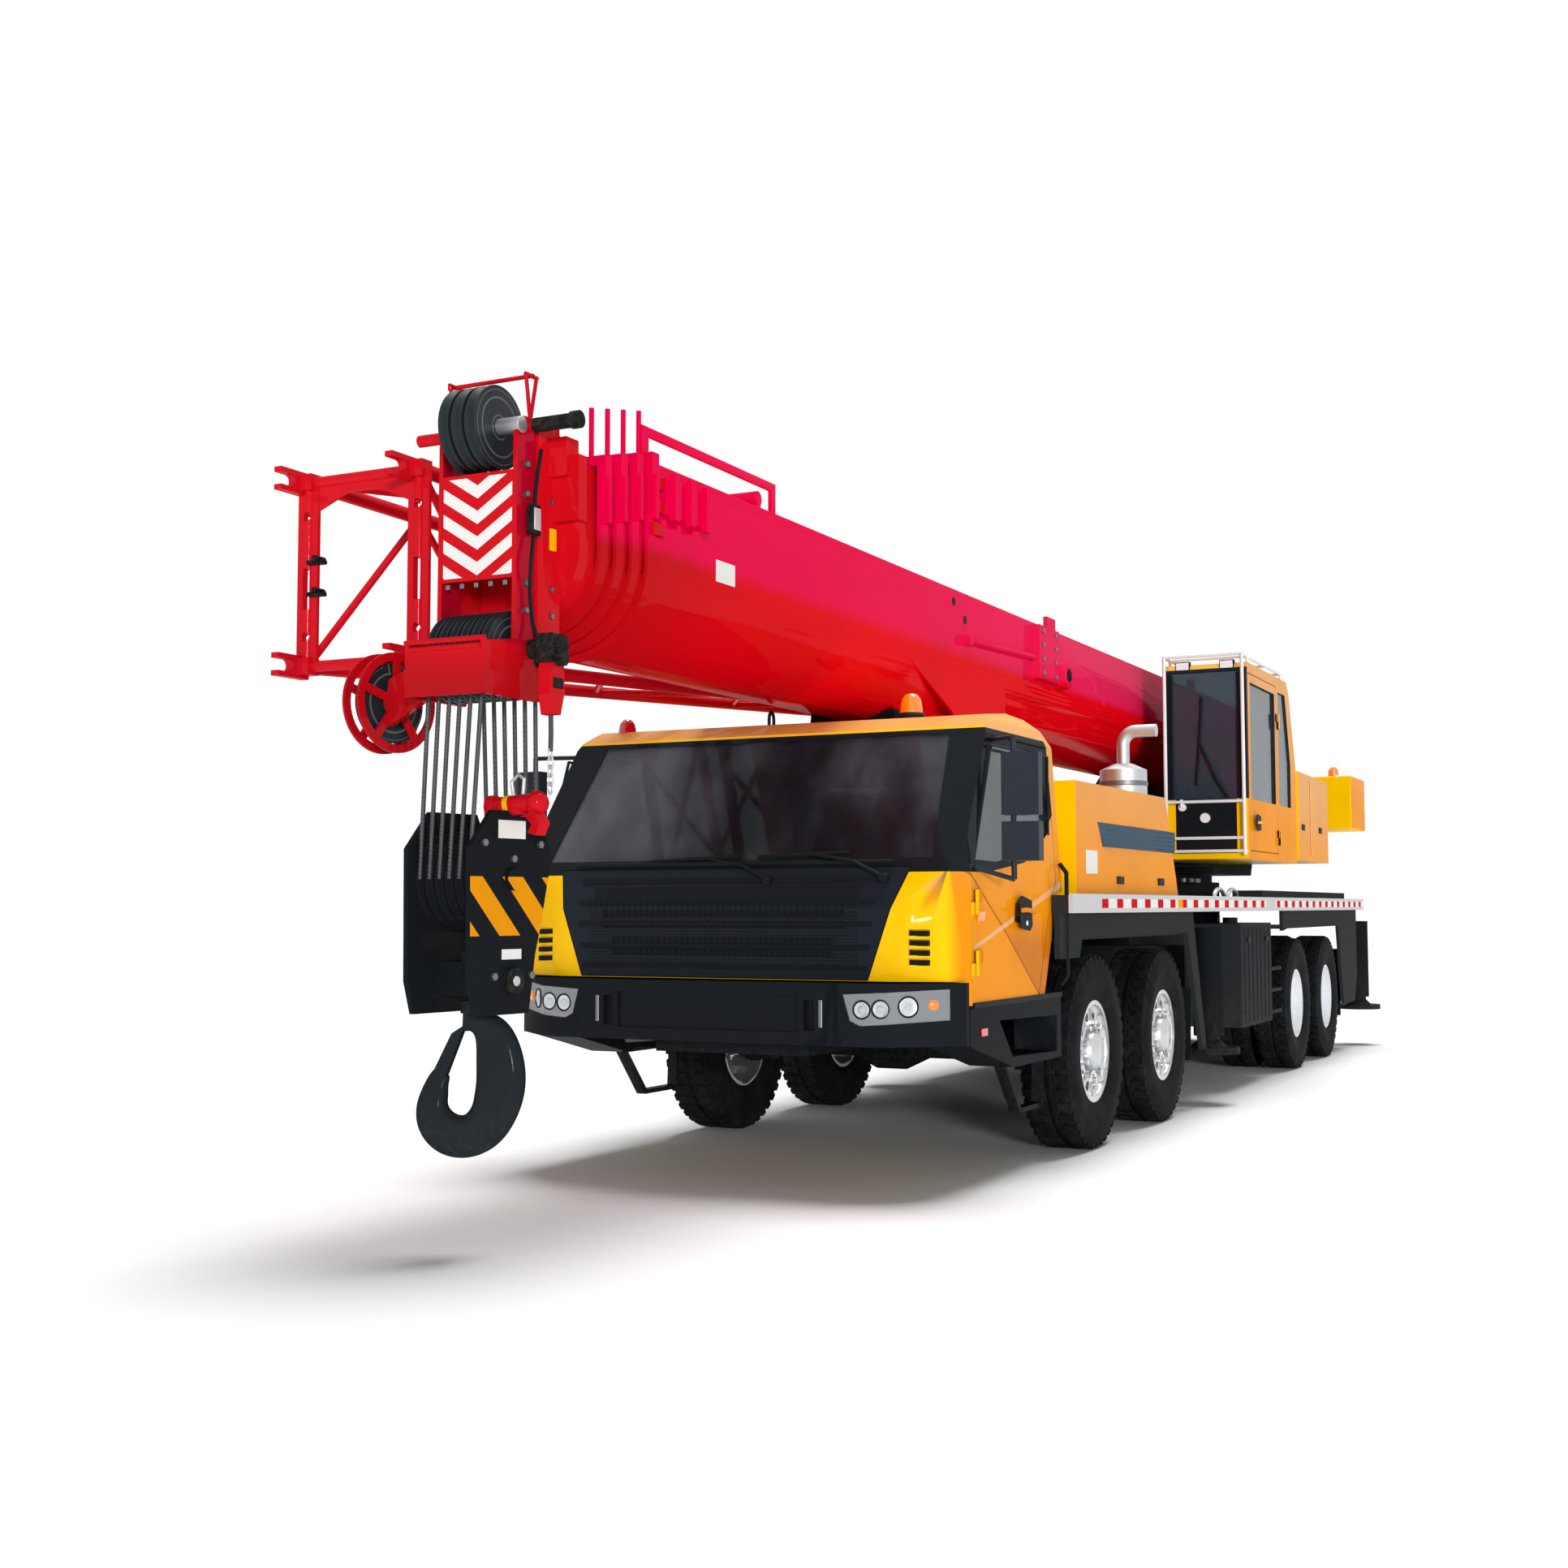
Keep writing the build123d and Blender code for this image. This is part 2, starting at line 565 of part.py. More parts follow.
# ---- carrier cab interior: two seats, dash and steering wheel ----
interior_w = door_inner_x - 15
seat_y = cab_front + 670
helm = (620, cab_front + 510, 1560)
interior = block(-interior_w, interior_w, cab_front + 120, cab_front + 370, interior_floor, 1480)
for x in (-helm[0], helm[0]):
    interior += block(x - 250, x + 250, seat_y, seat_y + 470, interior_floor, 1330)
    interior += block(x - 240, x + 240, seat_y + 390, seat_y + 510, 1300, 1980)
wheel_plane = Plane(origin=helm, z_dir=(0, 0.5, 1))
interior += wheel_plane * Torus(215, 16)
interior += rod((helm[0], helm[1] - 190, 1400), helm, 26)
interior += wheel_plane * Cylinder(60, 30) + wheel_plane * Box(420, 40, 14)
nodes["cab_interior"] = interior & cab_body(wall) & block(-interior_w, interior_w, -9000, 3000, 0, 4000)

# ---- mirrors, each on two arms from its door ----
mirror_x = cab_half_w + 180
mirror_y = cab_front + 420
post_x, post_y = mirror_x - 40, mirror_y + 10
arm = rod((cab_half_w - 15, door_front + 30, 1560), (post_x, post_y, 1500), 12)
arm += rod((post_x, post_y, 1500), (post_x, post_y, 2190), 14)
arm += rod((post_x, post_y, 2190), (cab_half_w - 80, cab_front + 655, 2205), 12)
for z0, z1, depth in ((1590, 1780, 90), (1812, 2116, 80)):
    arm += plate_z([(mirror_x - 90, mirror_y - 28), (mirror_x + 90, mirror_y),
                    (mirror_x + 90, mirror_y + depth - 20),
                    (mirror_x, mirror_y + depth), (mirror_x - 90, mirror_y + depth - 30)], z0, z1)
arm -= cab_outer
nodes["mirror_left"] = arm
nodes["mirror_right"] = mirror(arm, about=Plane.YZ)

# ---- engine hood, engine and exhaust ----
hood_side = [(hood_front, deck_top), (hood_front, hood_top), (hood_rear_top, hood_top),
             (hood_rear_bottom, deck_top)]
hood_t = 25
hood = plate_x(hood_side, -hood_half_w, hood_half_w)
hood -= plate_x([(hood_front + hood_t, deck_top - 1), (hood_front + hood_t, hood_top - hood_t),
                 (hood_rear_top - hood_t, hood_top - hood_t), (hood_rear_bottom - 2 * hood_t, deck_top - 1)],
                -hood_half_w + hood_t, hood_half_w - hood_t)
# sunk strip below the lift cylinder
strip_half_w = 260
strip_drop = 80
hood -= block(-strip_half_w, strip_half_w, hood_front - 1, hood_rear_bottom, hood_top - strip_drop,
              hood_top + 1)
hood += block(-strip_half_w - 5, strip_half_w + 5, hood_front + 1, hood_rear_top + 10,
              hood_top - strip_drop - hood_t, hood_top - strip_drop)
# sunk air inlet along each side
inlet_z = hood_top - 215
inlet = plate_x([(hood_front + 415, inlet_z), (hood_front + 500, inlet_z - 136),
                 (hood_front + 1990, inlet_z - 124),
                 (hood_front + 1915, inlet_z)], hood_half_w - 12, hood_half_w + 1)
hood -= mirrored(inlet)
silencer = (hood_half_w - 190, hood_front + 1600)
silencer_r = 147
silencer_top = hood_top + 165
hood -= Pos(silencer[0], silencer[1], hood_top) * Cylinder(silencer_r + joint_gap, 4 * hood_t)
nodes["engine_hood"] = hood
nodes["engine"] = block(-340, 340, hood_front + 230, hood_front + 1430, rail_top, hood_top - 165)
pipe_r = 40
x, y = silencer
exhaust = Pos(x, y, (deck_top + silencer_top) / 2) * Cylinder(silencer_r, silencer_top - deck_top)
exhaust += Pos(x, y, silencer_top + 20) * Cone(silencer_r, 60, 40)
pipe_z = silencer_top + 160
pipe_end = silencer[0] + 215
exhaust += rod((x, y, silencer_top), (x, y, pipe_z), pipe_r)
bend_r = 85
turn = math.pi / 4
bend = ThreePointArc((x, y, pipe_z), (x + bend_r * (1 - math.cos(turn)), y, pipe_z + bend_r * math.sin(turn)),
                     (x + bend_r, y, pipe_z + bend_r))
exhaust += sweep(Plane(origin=(x, y, pipe_z)) * Circle(pipe_r), path=bend)
exhaust += rod((x + bend_r, y, pipe_z + bend_r), (pipe_end, y, pipe_z + bend_r), pipe_r)
nodes["exhaust"] = exhaust

# ---- tanks and boxes hung on the frame ----
box_y0, box_y1 = front_station + 770, front_station + 1830
box_x = skirt_x - 20
boxes = pair(rail_half_w, box_x, box_y0, box_y1, 470, 1240)
for k in range(7):
    y = box_y0 + 90 + 140 * k
    boxes -= pair(box_x - 12, box_x + 1, y, y + 45, 500, 1210)
for z in (520, 690, 860):
    boxes += pair(box_x - 240, box_x, box_y1, box_y1 + 380, z, z + 28)
for y in (box_y1, box_y1 + 366):
    boxes += pair(box_x - 240, box_x - 226, y, y + 14, 520, 888)
boxes += pair(rail_half_w, box_x - 100, front_station - 500, front_station - 290, 600, 1100)
nodes["side_boxes"] = boxes

# ---- turntable ----
side_plate_x = 470
side_plate_t = 45
turntable = Pos(0, slew_y, ring_top + 30) * Cylinder(ring_r + 40, 60)
turntable += block(-side_plate_x - side_plate_t, side_plate_x + side_plate_t, lift_base_y - 350, foot_y + 250,
                   ring_top + 20, ring_top + 70)
cheek = [(lift_base_y - 350, ring_top + 20), (lift_base_y - 350, 1960), (3000, 2260),
         (foot_y - 330, foot_z + 200),
         (foot_y + 150, foot_z + 200), (foot_y + 500, tail_top - 30), (tail_front, tail_top - 30),
         (tail_front, tail_bottom), (foot_y + 450, 1990), (foot_y + 250, ring_top + 20)]
turntable += mirrored(plate_x(cheek, side_plate_x, side_plate_x + side_plate_t))
foot_pin_x = side_plate_x + side_plate_t + 30
turntable += rod_x(-foot_pin_x, foot_pin_x, foot_y, foot_z, foot_pin_r)
turntable += block(-side_plate_x, side_plate_x, foot_y + 430, foot_y + 480, ring_top + 400, 2300)
ear_gap = 85
lift_ear = plate_x([(lift_base_y - 90, ring_top + 60), (lift_base_y - 90, lift_base_z + 50),
                    (lift_base_y - 50, lift_base_z + 90), (lift_base_y + 90, lift_base_z + 90),
                    (lift_base_y + 220, ring_top + 60)], ear_gap, ear_gap + 50)
turntable += mirrored(lift_ear)
turntable += rod_x(-ear_gap - 60, ear_gap + 60, lift_base_y, lift_base_z, lift_pin_r)
nodes["turntable_frame"] = turntable

# tanks and machinery covers on both sides of the frame
cover_x = (side_plate_x + side_plate_t, tail_half_w)
cover_front, cover_rear, cover_bottom = slew_y + 440, slew_y + 1800, ring_top + 120
cover_left = plate_x([(cover_front, cover_bottom), (cover_front, 2520), (cover_rear, 2500),
                      (cover_rear, cover_bottom)], *cover_x)
cover_left -= block(tail_half_w - 4, tail_half_w + 1, cover_front + 560, cover_front + 572, cover_bottom,
                    2530)
cover_right = plate_x([(slew_y - 650, cover_bottom), (slew_y - 650, 2350), (cover_rear, 2350),
                       (cover_rear, cover_bottom)], -cover_x[1], -cover_x[0])
nodes["side_covers"] = cover_left + cover_right

# ---- counterweight: a slab whose back is an arc about the slewing axis ----
slab = Pos(0, slew_y, (tail_bottom + tail_top) / 2) * Cylinder(tail_r, tail_top - tail_bottom)
slab &= block(-tail_half_w, tail_half_w, tail_front, slew_y + tail_r + 1, tail_bottom, tail_top)
nodes["counterweight"] = slab

# ---- winches ----
winch_half_w = 330
drum_r = 150
flange_r = 215
winches = None
low_winch = (foot_y + 850, tail_top - 270)
top_winch = (foot_y + 1500, tail_top + flange_r + 20)
for y, z in (low_winch, top_winch):
    one = ring_x([(0, -winch_half_w), (flange_r, -winch_half_w), (flange_r, -winch_half_w + 25),
                  (drum_r, -winch_half_w + 25), (drum_r, winch_half_w - 25), (flange_r, winch_half_w - 25),
                  (flange_r, winch_half_w), (0, winch_half_w)], y, z)
    winches = one if winches is None else winches + one
winches += rod_x(-side_plate_x, side_plate_x, *low_winch, 60)
winches += pair(winch_half_w, winch_half_w + 40, top_winch[0] - 120, top_winch[0] + 120, tail_top,
                tail_top + flange_r + 100)
nodes["winches"] = winches

# ---- operator's cab ----
op_x0, op_x1 = tail_half_w - 650, tail_half_w - 10
op_front, op_rear = slew_y - 1450, slew_y + 390
op_floor, op_top = ring_top + 90, ring_top + 1600
op_sill = op_floor + 460
op_wall = 40


def operator_body(inset):
    """Outer form of the operator's cab, or its hollow."""
    side = [(op_front + inset, op_floor + inset), (op_front + inset, op_top - 60),
            (op_front + 60 + inset, op_top - inset), (op_rear - 320 - inset, op_top - inset),
            (op_rear - 230 - inset, op_top - 90), (op_rear - inset, op_top - 680),
            (op_rear - inset, op_floor + inset)]
    return plate_x(side, op_x0 + inset, op_x1 - inset)


op_door_rear = op_front + 1100
door_sill = op_floor + 60
side_x = (op_x1 - op_wall - 5, op_x1 + 5)
op_front_window = block(op_x0 + 60, op_x1 - 60, op_front - 10, op_front + op_wall + 60, op_sill, op_top - 70)
op_right_window = block(op_x0 - 10, op_x0 + op_wall + 10, op_front + 120, op_front + 1300, op_sill,
                        op_top - 120)
op_door_cut = plate_x([(op_front + 60, door_sill), (op_front + 60, op_top - 80), (op_door_rear, op_top - 80),
                       (op_door_rear, door_sill)], *side_x)
op_quarter = plate_x([(op_door_rear + 60, op_sill), (op_door_rear + 60, op_top - 120),
                      (op_rear - 390, op_top - 120), (op_rear - 210, op_top - 680),
                      (op_rear - 210, op_sill)], *side_x)
operator_cab = operator_body(0) - operator_body(op_wall)
operator_cab -= op_front_window + op_right_window + op_door_cut + op_quarter
operator_cab += block(side_plate_x + side_plate_t, op_x0 + 1, op_front + 500, op_front + 1600, op_floor,
                      op_floor + 120)
# seat
seat_mid = (op_x0 + op_x1) / 2 + 50
operator_cab += block(seat_mid - 200, seat_mid + 200, op_front + 1100, op_front + 1360, op_floor
                      + op_wall - 1, op_sill - 10)
operator_cab += block(seat_mid - 220, seat_mid + 220, op_front + 750, op_front + 1250, op_sill - 110,
                      op_sill + 10)
operator_cab += block(seat_mid - 210, seat_mid + 210, op_front + 1200, op_front + 1310, op_sill + 10,
                      op_sill + 710)
op_axis = (op_x1 + hinge_out, op_door_rear)
op_hinge_z = (op_floor + 220, op_floor + 1170)
operator_cab += hinge(op_axis, (0, 1), (1, 0), op_hinge_z, 50, -hinge_h - seat_gap, hinge_out)
nodes["operator_cab"] = operator_cab
pane = operator_body(14) - operator_body(14 + glass_t)
nodes["operator_glass"] = pane & (op_front_window + op_right_window + op_quarter)
op_pane_hole = block(op_x1 - op_wall - 1, op_x1 + 1, op_front + 130, op_door_rear - 70, op_sill, op_top - 150)
op_door = block(op_x1 - op_wall, op_x1, op_front + 60 + joint_gap, op_door_rear - joint_gap, door_sill
                + joint_gap,
                op_top - 80 - joint_gap)
op_door -= op_pane_hole
op_door += hinge(op_axis, (0, -1), (1, 0), op_hinge_z, 50, 0, hinge_out)
nodes["operator_door"] = op_door
nodes["operator_door_glass"] = op_pane_hole & block(op_x1 - 26, op_x1 - 26 + glass_t, op_front, op_rear, 0,
                                                    9000)

# tube guard ahead of the windscreen and a rack on the roof
tube_r = 14
guard_y = op_front - 40
guard_x = (op_x0 + 20, op_x1 - 20)
rack_z = op_top + 55
guard = None
for x in guard_x:
    post = rod((x, guard_y, op_floor + 30), (x, guard_y, rack_z), tube_r)
    post += rod((x, guard_y, rack_z), (x, op_rear - 380, rack_z), tube_r)
    for y in (op_front + 150, op_rear - 450):
        post += rod((x, y, op_top), (x, y, rack_z), tube_r - 2)
    post += rod((x, guard_y, op_floor + 60), (x, op_front, op_floor + 60), tube_r - 2)
    guard = post if guard is None else guard + post
for z in (op_floor + 60, op_floor + 160, op_sill - 20, rack_z):
    guard += rod((guard_x[0], guard_y, z), (guard_x[1], guard_y, z), tube_r - 2)
for y in (op_front + 150, op_front + 800, op_rear - 450):
    guard += rod((guard_x[0], y, rack_z), (guard_x[1], y, rack_z), tube_r - 2)
nodes["operator_guard"] = guard

# ---- boom sections: U-shaped tubes, one inside the next ----
section_names = ("boom_base", "boom_section_2", "boom_section_3", "boom_section_4", "boom_head")
boom_top = boom_bottom + boom_h


def u_shape(half_w, y0, y1):
    """Solid bar with a flat top and a half-round bottom."""
    centre_z = boom_bottom + boom_half_w
    bar = rod((0, y0, centre_z), (0, y1, centre_z), half_w)
    return bar + block(-half_w, half_w, y0, y1, centre_z, boom_top - (boom_half_w - half_w))


def boom_tube(k):
    """Section k with the collar at its front and the wear pads under the next section."""
    half_w = boom_half_w - k * section_gap
    top = boom_top - k * section_gap
    y0 = boom_front - k * collar_step
    y1 = foot_y - foot_pin_r - 20 - k * 60 if k else boom_rear
    tube = u_shape(half_w, y0, y1)
    if k < 4:
        tube += u_shape(half_w + 9, y0, y0 + 70)
        # pad housing at the collar's upper corner and the finger that guides the ropes
        tube += block(half_w - 80, half_w + 26, y0 + 6, y0 + 64, top - 230, top + 34)
        tube += block(half_w - 2, half_w + 36, y0 + 22, y0 + 48, top - 250, top - 60)
        tube += block(-half_w, half_w, y0 + 10, y0 + 60, top - 2, top + 16)
        tube += rod((half_w - 60, y0 + 35, top), (half_w - 60, y0 + 35, boom_top + 165 + 15 * (4 - k)), 11)
    tube -= u_shape(half_w - boom_wall, y0 - 1, y1 - 60)
    if k < 4:
        inner = half_w - section_gap
        pad = u_shape(half_w - boom_wall + 1, y0, y0 + 60) - u_shape(inner + seat_gap, y0 - 1, y0 + 61)
        tube += pad & block(-inner, inner, y0 - 1, y0 + 61, boom_bottom, boom_bottom + boom_half_w - 60)
    return tube


sections = [boom_tube(k) for k in range(5)]
# pivot boss of the base section
base = sections[0]
base += rod_x(-side_plate_x + joint_gap, side_plate_x - joint_gap, foot_y, foot_z, foot_pin_r + 70)
base -= rod_x(-side_plate_x, side_plate_x, foot_y, foot_z, foot_pin_r + pin_clear)
# bracket that the lift cylinder pushes on: two ears at its eye, a plate down each flank and the pin
head_ear_gap = 100
flank_x = (boom_half_w - 22, boom_half_w - 6)
bracket = plate_x([(lift_head_y - 500, boom_bottom + 260), (lift_head_y - 150, lift_head_z - 70),
                   (lift_head_y + 150, lift_head_z - 70), (lift_head_y + 500, boom_bottom + 260)],
                  head_ear_gap, head_ear_gap + 40)
bracket += plate_x([(lift_head_y - 1160, boom_bottom + 330), (lift_head_y - 1160, boom_bottom + 316),
                    (lift_head_y - 536, boom_bottom + 89), (lift_head_y - 110, lift_head_z - 65),
                    (lift_head_y + 110, lift_head_z - 65), (lift_head_y + 200, boom_bottom + 60),
                    (lift_head_y + 392, boom_bottom + 161), (lift_head_y + 392, boom_bottom + 380)], *flank_x)
bracket += block(head_ear_gap + 39, flank_x[0] + 1, lift_head_y + 60, lift_head_y + 80, lift_head_z - 50,
                 boom_bottom + 160)
base += mirrored(bracket)
base += rod_x(-flank_x[1], flank_x[1], lift_head_y, lift_head_z, lift_pin_r)
base -= u_shape(boom_half_w - boom_wall, boom_front + 61, boom_rear - 60)
# ribbed locking bracket behind the collar, and the clamp with its push rod half-way along
lock_y = boom_front + 110
base += block(boom_half_w - 1, boom_half_w + 38, lock_y, lock_y + 380, boom_top - 220, boom_top - 60)
for k in range(3):
    base += block(boom_half_w + 30, boom_half_w + 62, lock_y + 30 + 140 * k, lock_y + 70 + 140 * k,
                  boom_top - 240, boom_top - 40)
clamp_y = boom_front + 4990
base += block(boom_half_w - 1, boom_half_w + 60, clamp_y, clamp_y + 420, boom_bottom + 450, boom_top - 20)
base += rod_x(boom_half_w - 1, boom_half_w + 95, clamp_y + 520, boom_bottom + 520, 95)
base += rod_x(boom_half_w - 1, boom_half_w + 50, clamp_y - 1240, boom_bottom + 543, 34)
base += rod((boom_half_w + 26, clamp_y - 1240, boom_bottom + 543),
            (boom_half_w + 26, clamp_y + 10, boom_bottom + 590), 20)
base += block(boom_half_w - 40, boom_half_w - 12, clamp_y + 380, clamp_y + 560, boom_top - 2, boom_top + 90)
# rail and roller on top
rail_x = boom_half_w - 50
rail_y0, rail_y1 = boom_front + 30, boom_front + 1300
base += block(rail_x - 8, rail_x + 8, rail_y0, rail_y1, boom_top + 125, boom_top + 165)
base += block(rail_x - 8, rail_x + 8, rail_y0, rail_y0 + 60, boom_top - 1, boom_top + 165)
base += block(rail_x - 8, rail_x + 8, rail_y1 - 50, rail_y1, boom_top - 1, boom_top + 165)
base += rod_x(rail_x - 230, rail_x, rail_y1 - 170, boom_top + 62, 38)
for x in (rail_x - 235, rail_x - 8):
    base += block(x, x + 12, rail_y1 - 190, rail_y1 - 150, boom_top - 1, boom_top + 62)

# ---- lattice jib stowed on the right of the boom ----
chord_r = 32
brace_r = 17
jib_front = boom_front - 450
jib_rear = boom_front + 6900
# end of the jib: y, x and z of its middle, half width and half height
jib_ends = {"front": (jib_front, -boom_half_w - 345, boom_top - 450, 300, 405),
            "rear": (jib_rear, -boom_half_w - 240, boom_top - 340, 140, 130)}
bays = 10


def jib_corner(t, side, up):
    """Corner of the jib's section at a share t of its length."""
    (y0, x0, z0, w0, h0), (y1, x1, z1, w1, h1) = jib_ends.values()
    return (x0 + t * (x1 - x0) + side * (w0 + t * (w1 - w0)), y0 + t * (y1 - y0),
            z0 + t * (z1 - z0) + up * (h0 + t * (h1 - h0)))


corners = ((1, 1), (1, -1), (-1, -1), (-1, 1))
jib = None
for k, (side, up) in enumerate(corners):
    chord = rod(jib_corner(0, side, up), jib_corner(1, side, up), chord_r)
    jib = chord if jib is None else jib + chord
    other_side, other_up = corners[(k + 1) % 4]
    for bay in range(bays):
        t0, t1 = bay / bays, (bay + 1) / bays
        first, second = (t0, t1) if bay % 2 == 0 else (t1, t0)
        jib += rod(jib_corner(first, side, up), jib_corner(second, other_side, other_up), brace_r)
    for t in (0, 1):
        jib += rod(jib_corner(t, side, up), jib_corner(t, other_side, other_up), chord_r - 8)
# end frame: two plates with holes, and an open jaw at each corner that takes a pin of the boom head
jaw_half = 50
jaw_gap = 54
for side in (-1, 1):
    x, y, top = jib_corner(0, side, 1)
    low = jib_corner(0, side, -1)[2]
    jib += block(x - 55, x + 55, y - 9, y + 9, low, top)
    for z in (top - 150, low + 130):
        jib -= rod((x, y - 40, z), (x, y + 40, z), 20)
    jib -= block(x - 18, x + 18, y - 40, y + 40, low + 250, low + 430)
    for up in (-1, 1):
        z = jib_corner(0, side, up)[2]
        jib += block(x - 36, x + 36, y - 36, y + 36, z - 36, z + 36)
        jaw = block(x - 65, x - 25, y - 155, y + 40, z - jaw_half, z + jaw_half)
        jaw -= block(x - 66, x - 24, y - 156, y - 90, z - jaw_gap / 2, z + jaw_gap / 2)
        jib += jaw - rod_x(x - 66, x - 24, y - 90, z, jaw_gap / 2)
# gusset plates across the end frame
x0, y, z = jib_corner(0, -1, 1)
x1 = jib_corner(0, 1, 1)[0]
jib += plate_y([(x0, z + 10), (x1, z + 10), (x1, z - 150), (x1 - 220, z - 60), (x0 + 220, z - 60),
                (x0, z - 150)],
               y - 5, y + 5)
nodes["jib"] = jib

# brackets on the boom's side, each round the jib's upper inner chord
for y in (boom_front + 570, boom_front + 5040):
    t = (y - jib_front) / (jib_rear - jib_front)
    x, _, z = jib_corner(t, 1, 1)
    bracket = block(x - 55, -boom_half_w + 1, y - 40, y + 40, z - 55, z + 55)
    base += bracket - rod(jib_corner(0, 1, 1), jib_corner(1, 1, 1), chord_r + seat_gap)

# ---- boom head: closing plate, side plates, front plates, pins and rope guard ----
head = sections[4]
head_tube_w = boom_half_w - 4 * section_gap
head_tube_y = boom_front - 4 * collar_step
head_plate_x = 172
head_plate_t = 20
head_outer_x = head_plate_x + head_plate_t
head_plate_front = boom_front - 650
chin_front = hang_y - 258
chin_t = 8
top_axle_y = hang_y - 20
top_axle_z = boom_top + 30
pin_y = hang_y + 50
head += u_shape(head_tube_w, head_tube_y - 20, head_tube_y + 1)
head_rear = head_tube_y + 10
head_low = swing_z - 176
head_top = boom_top + 70
head_side = [(chin_front, head_low), (chin_front, swing_z + 30), (head_plate_front - 5, swing_z + 60),
             (head_plate_front, head_top - 90), (head_plate_front + 15, head_top - 25),
             (head_plate_front + 50, head_top), (head_rear, head_top), (head_rear, swing_z + 30),
             (head_rear - 90, swing_z - 80), (head_rear - 131, head_low)]
head += mirrored(plate_x(head_side, head_plate_x, head_outer_x))
# doubler on the rear half of each plate
head += mirrored(plate_x([(head_plate_front + 130, swing_z + 40), (head_plate_front + 130, head_top - 40),
                          (head_rear - 12, head_top - 30), (head_rear - 12, swing_z + 60)],
                         head_outer_x - 1, head_outer_x + 12))
head += block(-head_plate_x, head_plate_x, head_plate_front, head_plate_front + 15, swing_z + 310,
              boom_top - 155)
head += block(-head_plate_x, head_plate_x, chin_front, chin_front + chin_t, head_low, swing_z + 20)
head += rod_x(-head_outer_x, head_outer_x, chin_front + 2, swing_z + 40, 11)
head += rod_x(-head_plate_x, head_plate_x, chin_front + 2, swing_z + 12, 11)
# pins that the jib's jaws hook on to
jib_pin_r = 25
jib_pin_z = (boom_top + 40, swing_z + 30)
for z, left, right in ((jib_pin_z[0], 420, 370), (jib_pin_z[1], 340, 340)):
    head += rod_x(head_outer_x - 1, left, pin_y, z, jib_pin_r)
    head += rod_x(-right, -head_outer_x + 1, pin_y, z, jib_pin_r)
# pad housings behind the left plate
head += block(head_outer_x - 1, head_tube_w + 20, head_tube_y - 60, head_tube_y + 1, boom_top - 330,
              boom_top - 60)
head += block(head_outer_x - 1, head_tube_w - 20, head_tube_y - 90, head_tube_y + 1, boom_top - 150,
              boom_top + 10)
# rope guard on two V-shaped feet
guard_z = head_top + 175
guard_w = head_outer_x
head += rod_x(-guard_w - 30, guard_w + 6, pin_y - 2, guard_z, 9)
for side in (-1, 1):
    foot_at = (side * (guard_w - 8), pin_y - 2, head_top - 10)
    for dy in (-38, 38):
        head += rod(foot_at, (side * (guard_w - 4), pin_y - 2 + dy, guard_z + 4), 8)
    head += rod((side * (guard_w - 4), pin_y - 44, guard_z), (side * (guard_w - 4), pin_y + 40, guard_z), 9)
# auxiliary sheave folded to the right: arm, two spoked rings and their axle
aux_x, aux_y, aux_z, aux_r = -400, hang_y - 90, swing_z - 171, 205
aux_turn = -9.6
aux_plane = Plane(origin=(aux_x, aux_y, aux_z),
                  z_dir=(math.cos(math.radians(aux_turn)), math.sin(math.radians(aux_turn)), 0))
aux_axle_r = 28
aux_arm = plate_y([(-head_plate_x - 1, head_low + 4), (-head_plate_x - 1, swing_z - 12),
                   (aux_x + 45, aux_z + 90),
                   (aux_x + 30, aux_z), (aux_x + 45, aux_z - 100)], aux_y - 62, aux_y - 28)
head += aux_arm + aux_plane * Cylinder(aux_axle_r, 150)
for along in (-42, 42):
    ring = Cylinder(aux_r, 12) - Cylinder(aux_r - 34, 13) + Cylinder(62, 12)
    for k in range(5):
        ring += Rot(0, 0, 72 * k + 18) * Pos((aux_r - 10) / 2, 0, 0) * Box(aux_r - 10, 34, 12)
    head += aux_plane * (Pos(0, 0, along) * ring)
for name, section in zip(section_names, [base, sections[1], sections[2], sections[3], head]):
    nodes[name] = section

# ---- sheaves of the boom head ----
low_sheave_r = 165
fall_x = [fall_pitch * (k - 2.5) for k in range(6)]


def sheave(x, y, z, radius, width):
    """Grooved rope wheel on an axle along X."""
    half = width / 2
    return ring_x([(0, x - half), (radius + 14, x - half), (radius + 14, x - half + 6),
                   (radius, x - half * 0.3),
                   (radius, x + half * 0.3), (radius + 14, x + half - 6), (radius + 14, x + half),
                   (0, x + half)], y, z)


sheaves = rod_x(-head_plate_x, head_plate_x, hang_y, swing_z, 40)
for x in fall_x:
    sheaves += sheave(x, hang_y, swing_z, low_sheave_r, 40)
top_sheaves = rod_x(-head_plate_x, head_plate_x, top_axle_y, top_axle_z, 30)
for x in (-70, -5, 60):
    top_sheaves += sheave(x, top_axle_y, top_axle_z, 156, 50)
aux_sheave = aux_plane * (Cylinder(aux_r - 42, 40) - Cylinder(aux_axle_r + pin_clear, 41))
nodes["head_sheaves"] = sheaves + top_sheaves + aux_sheave

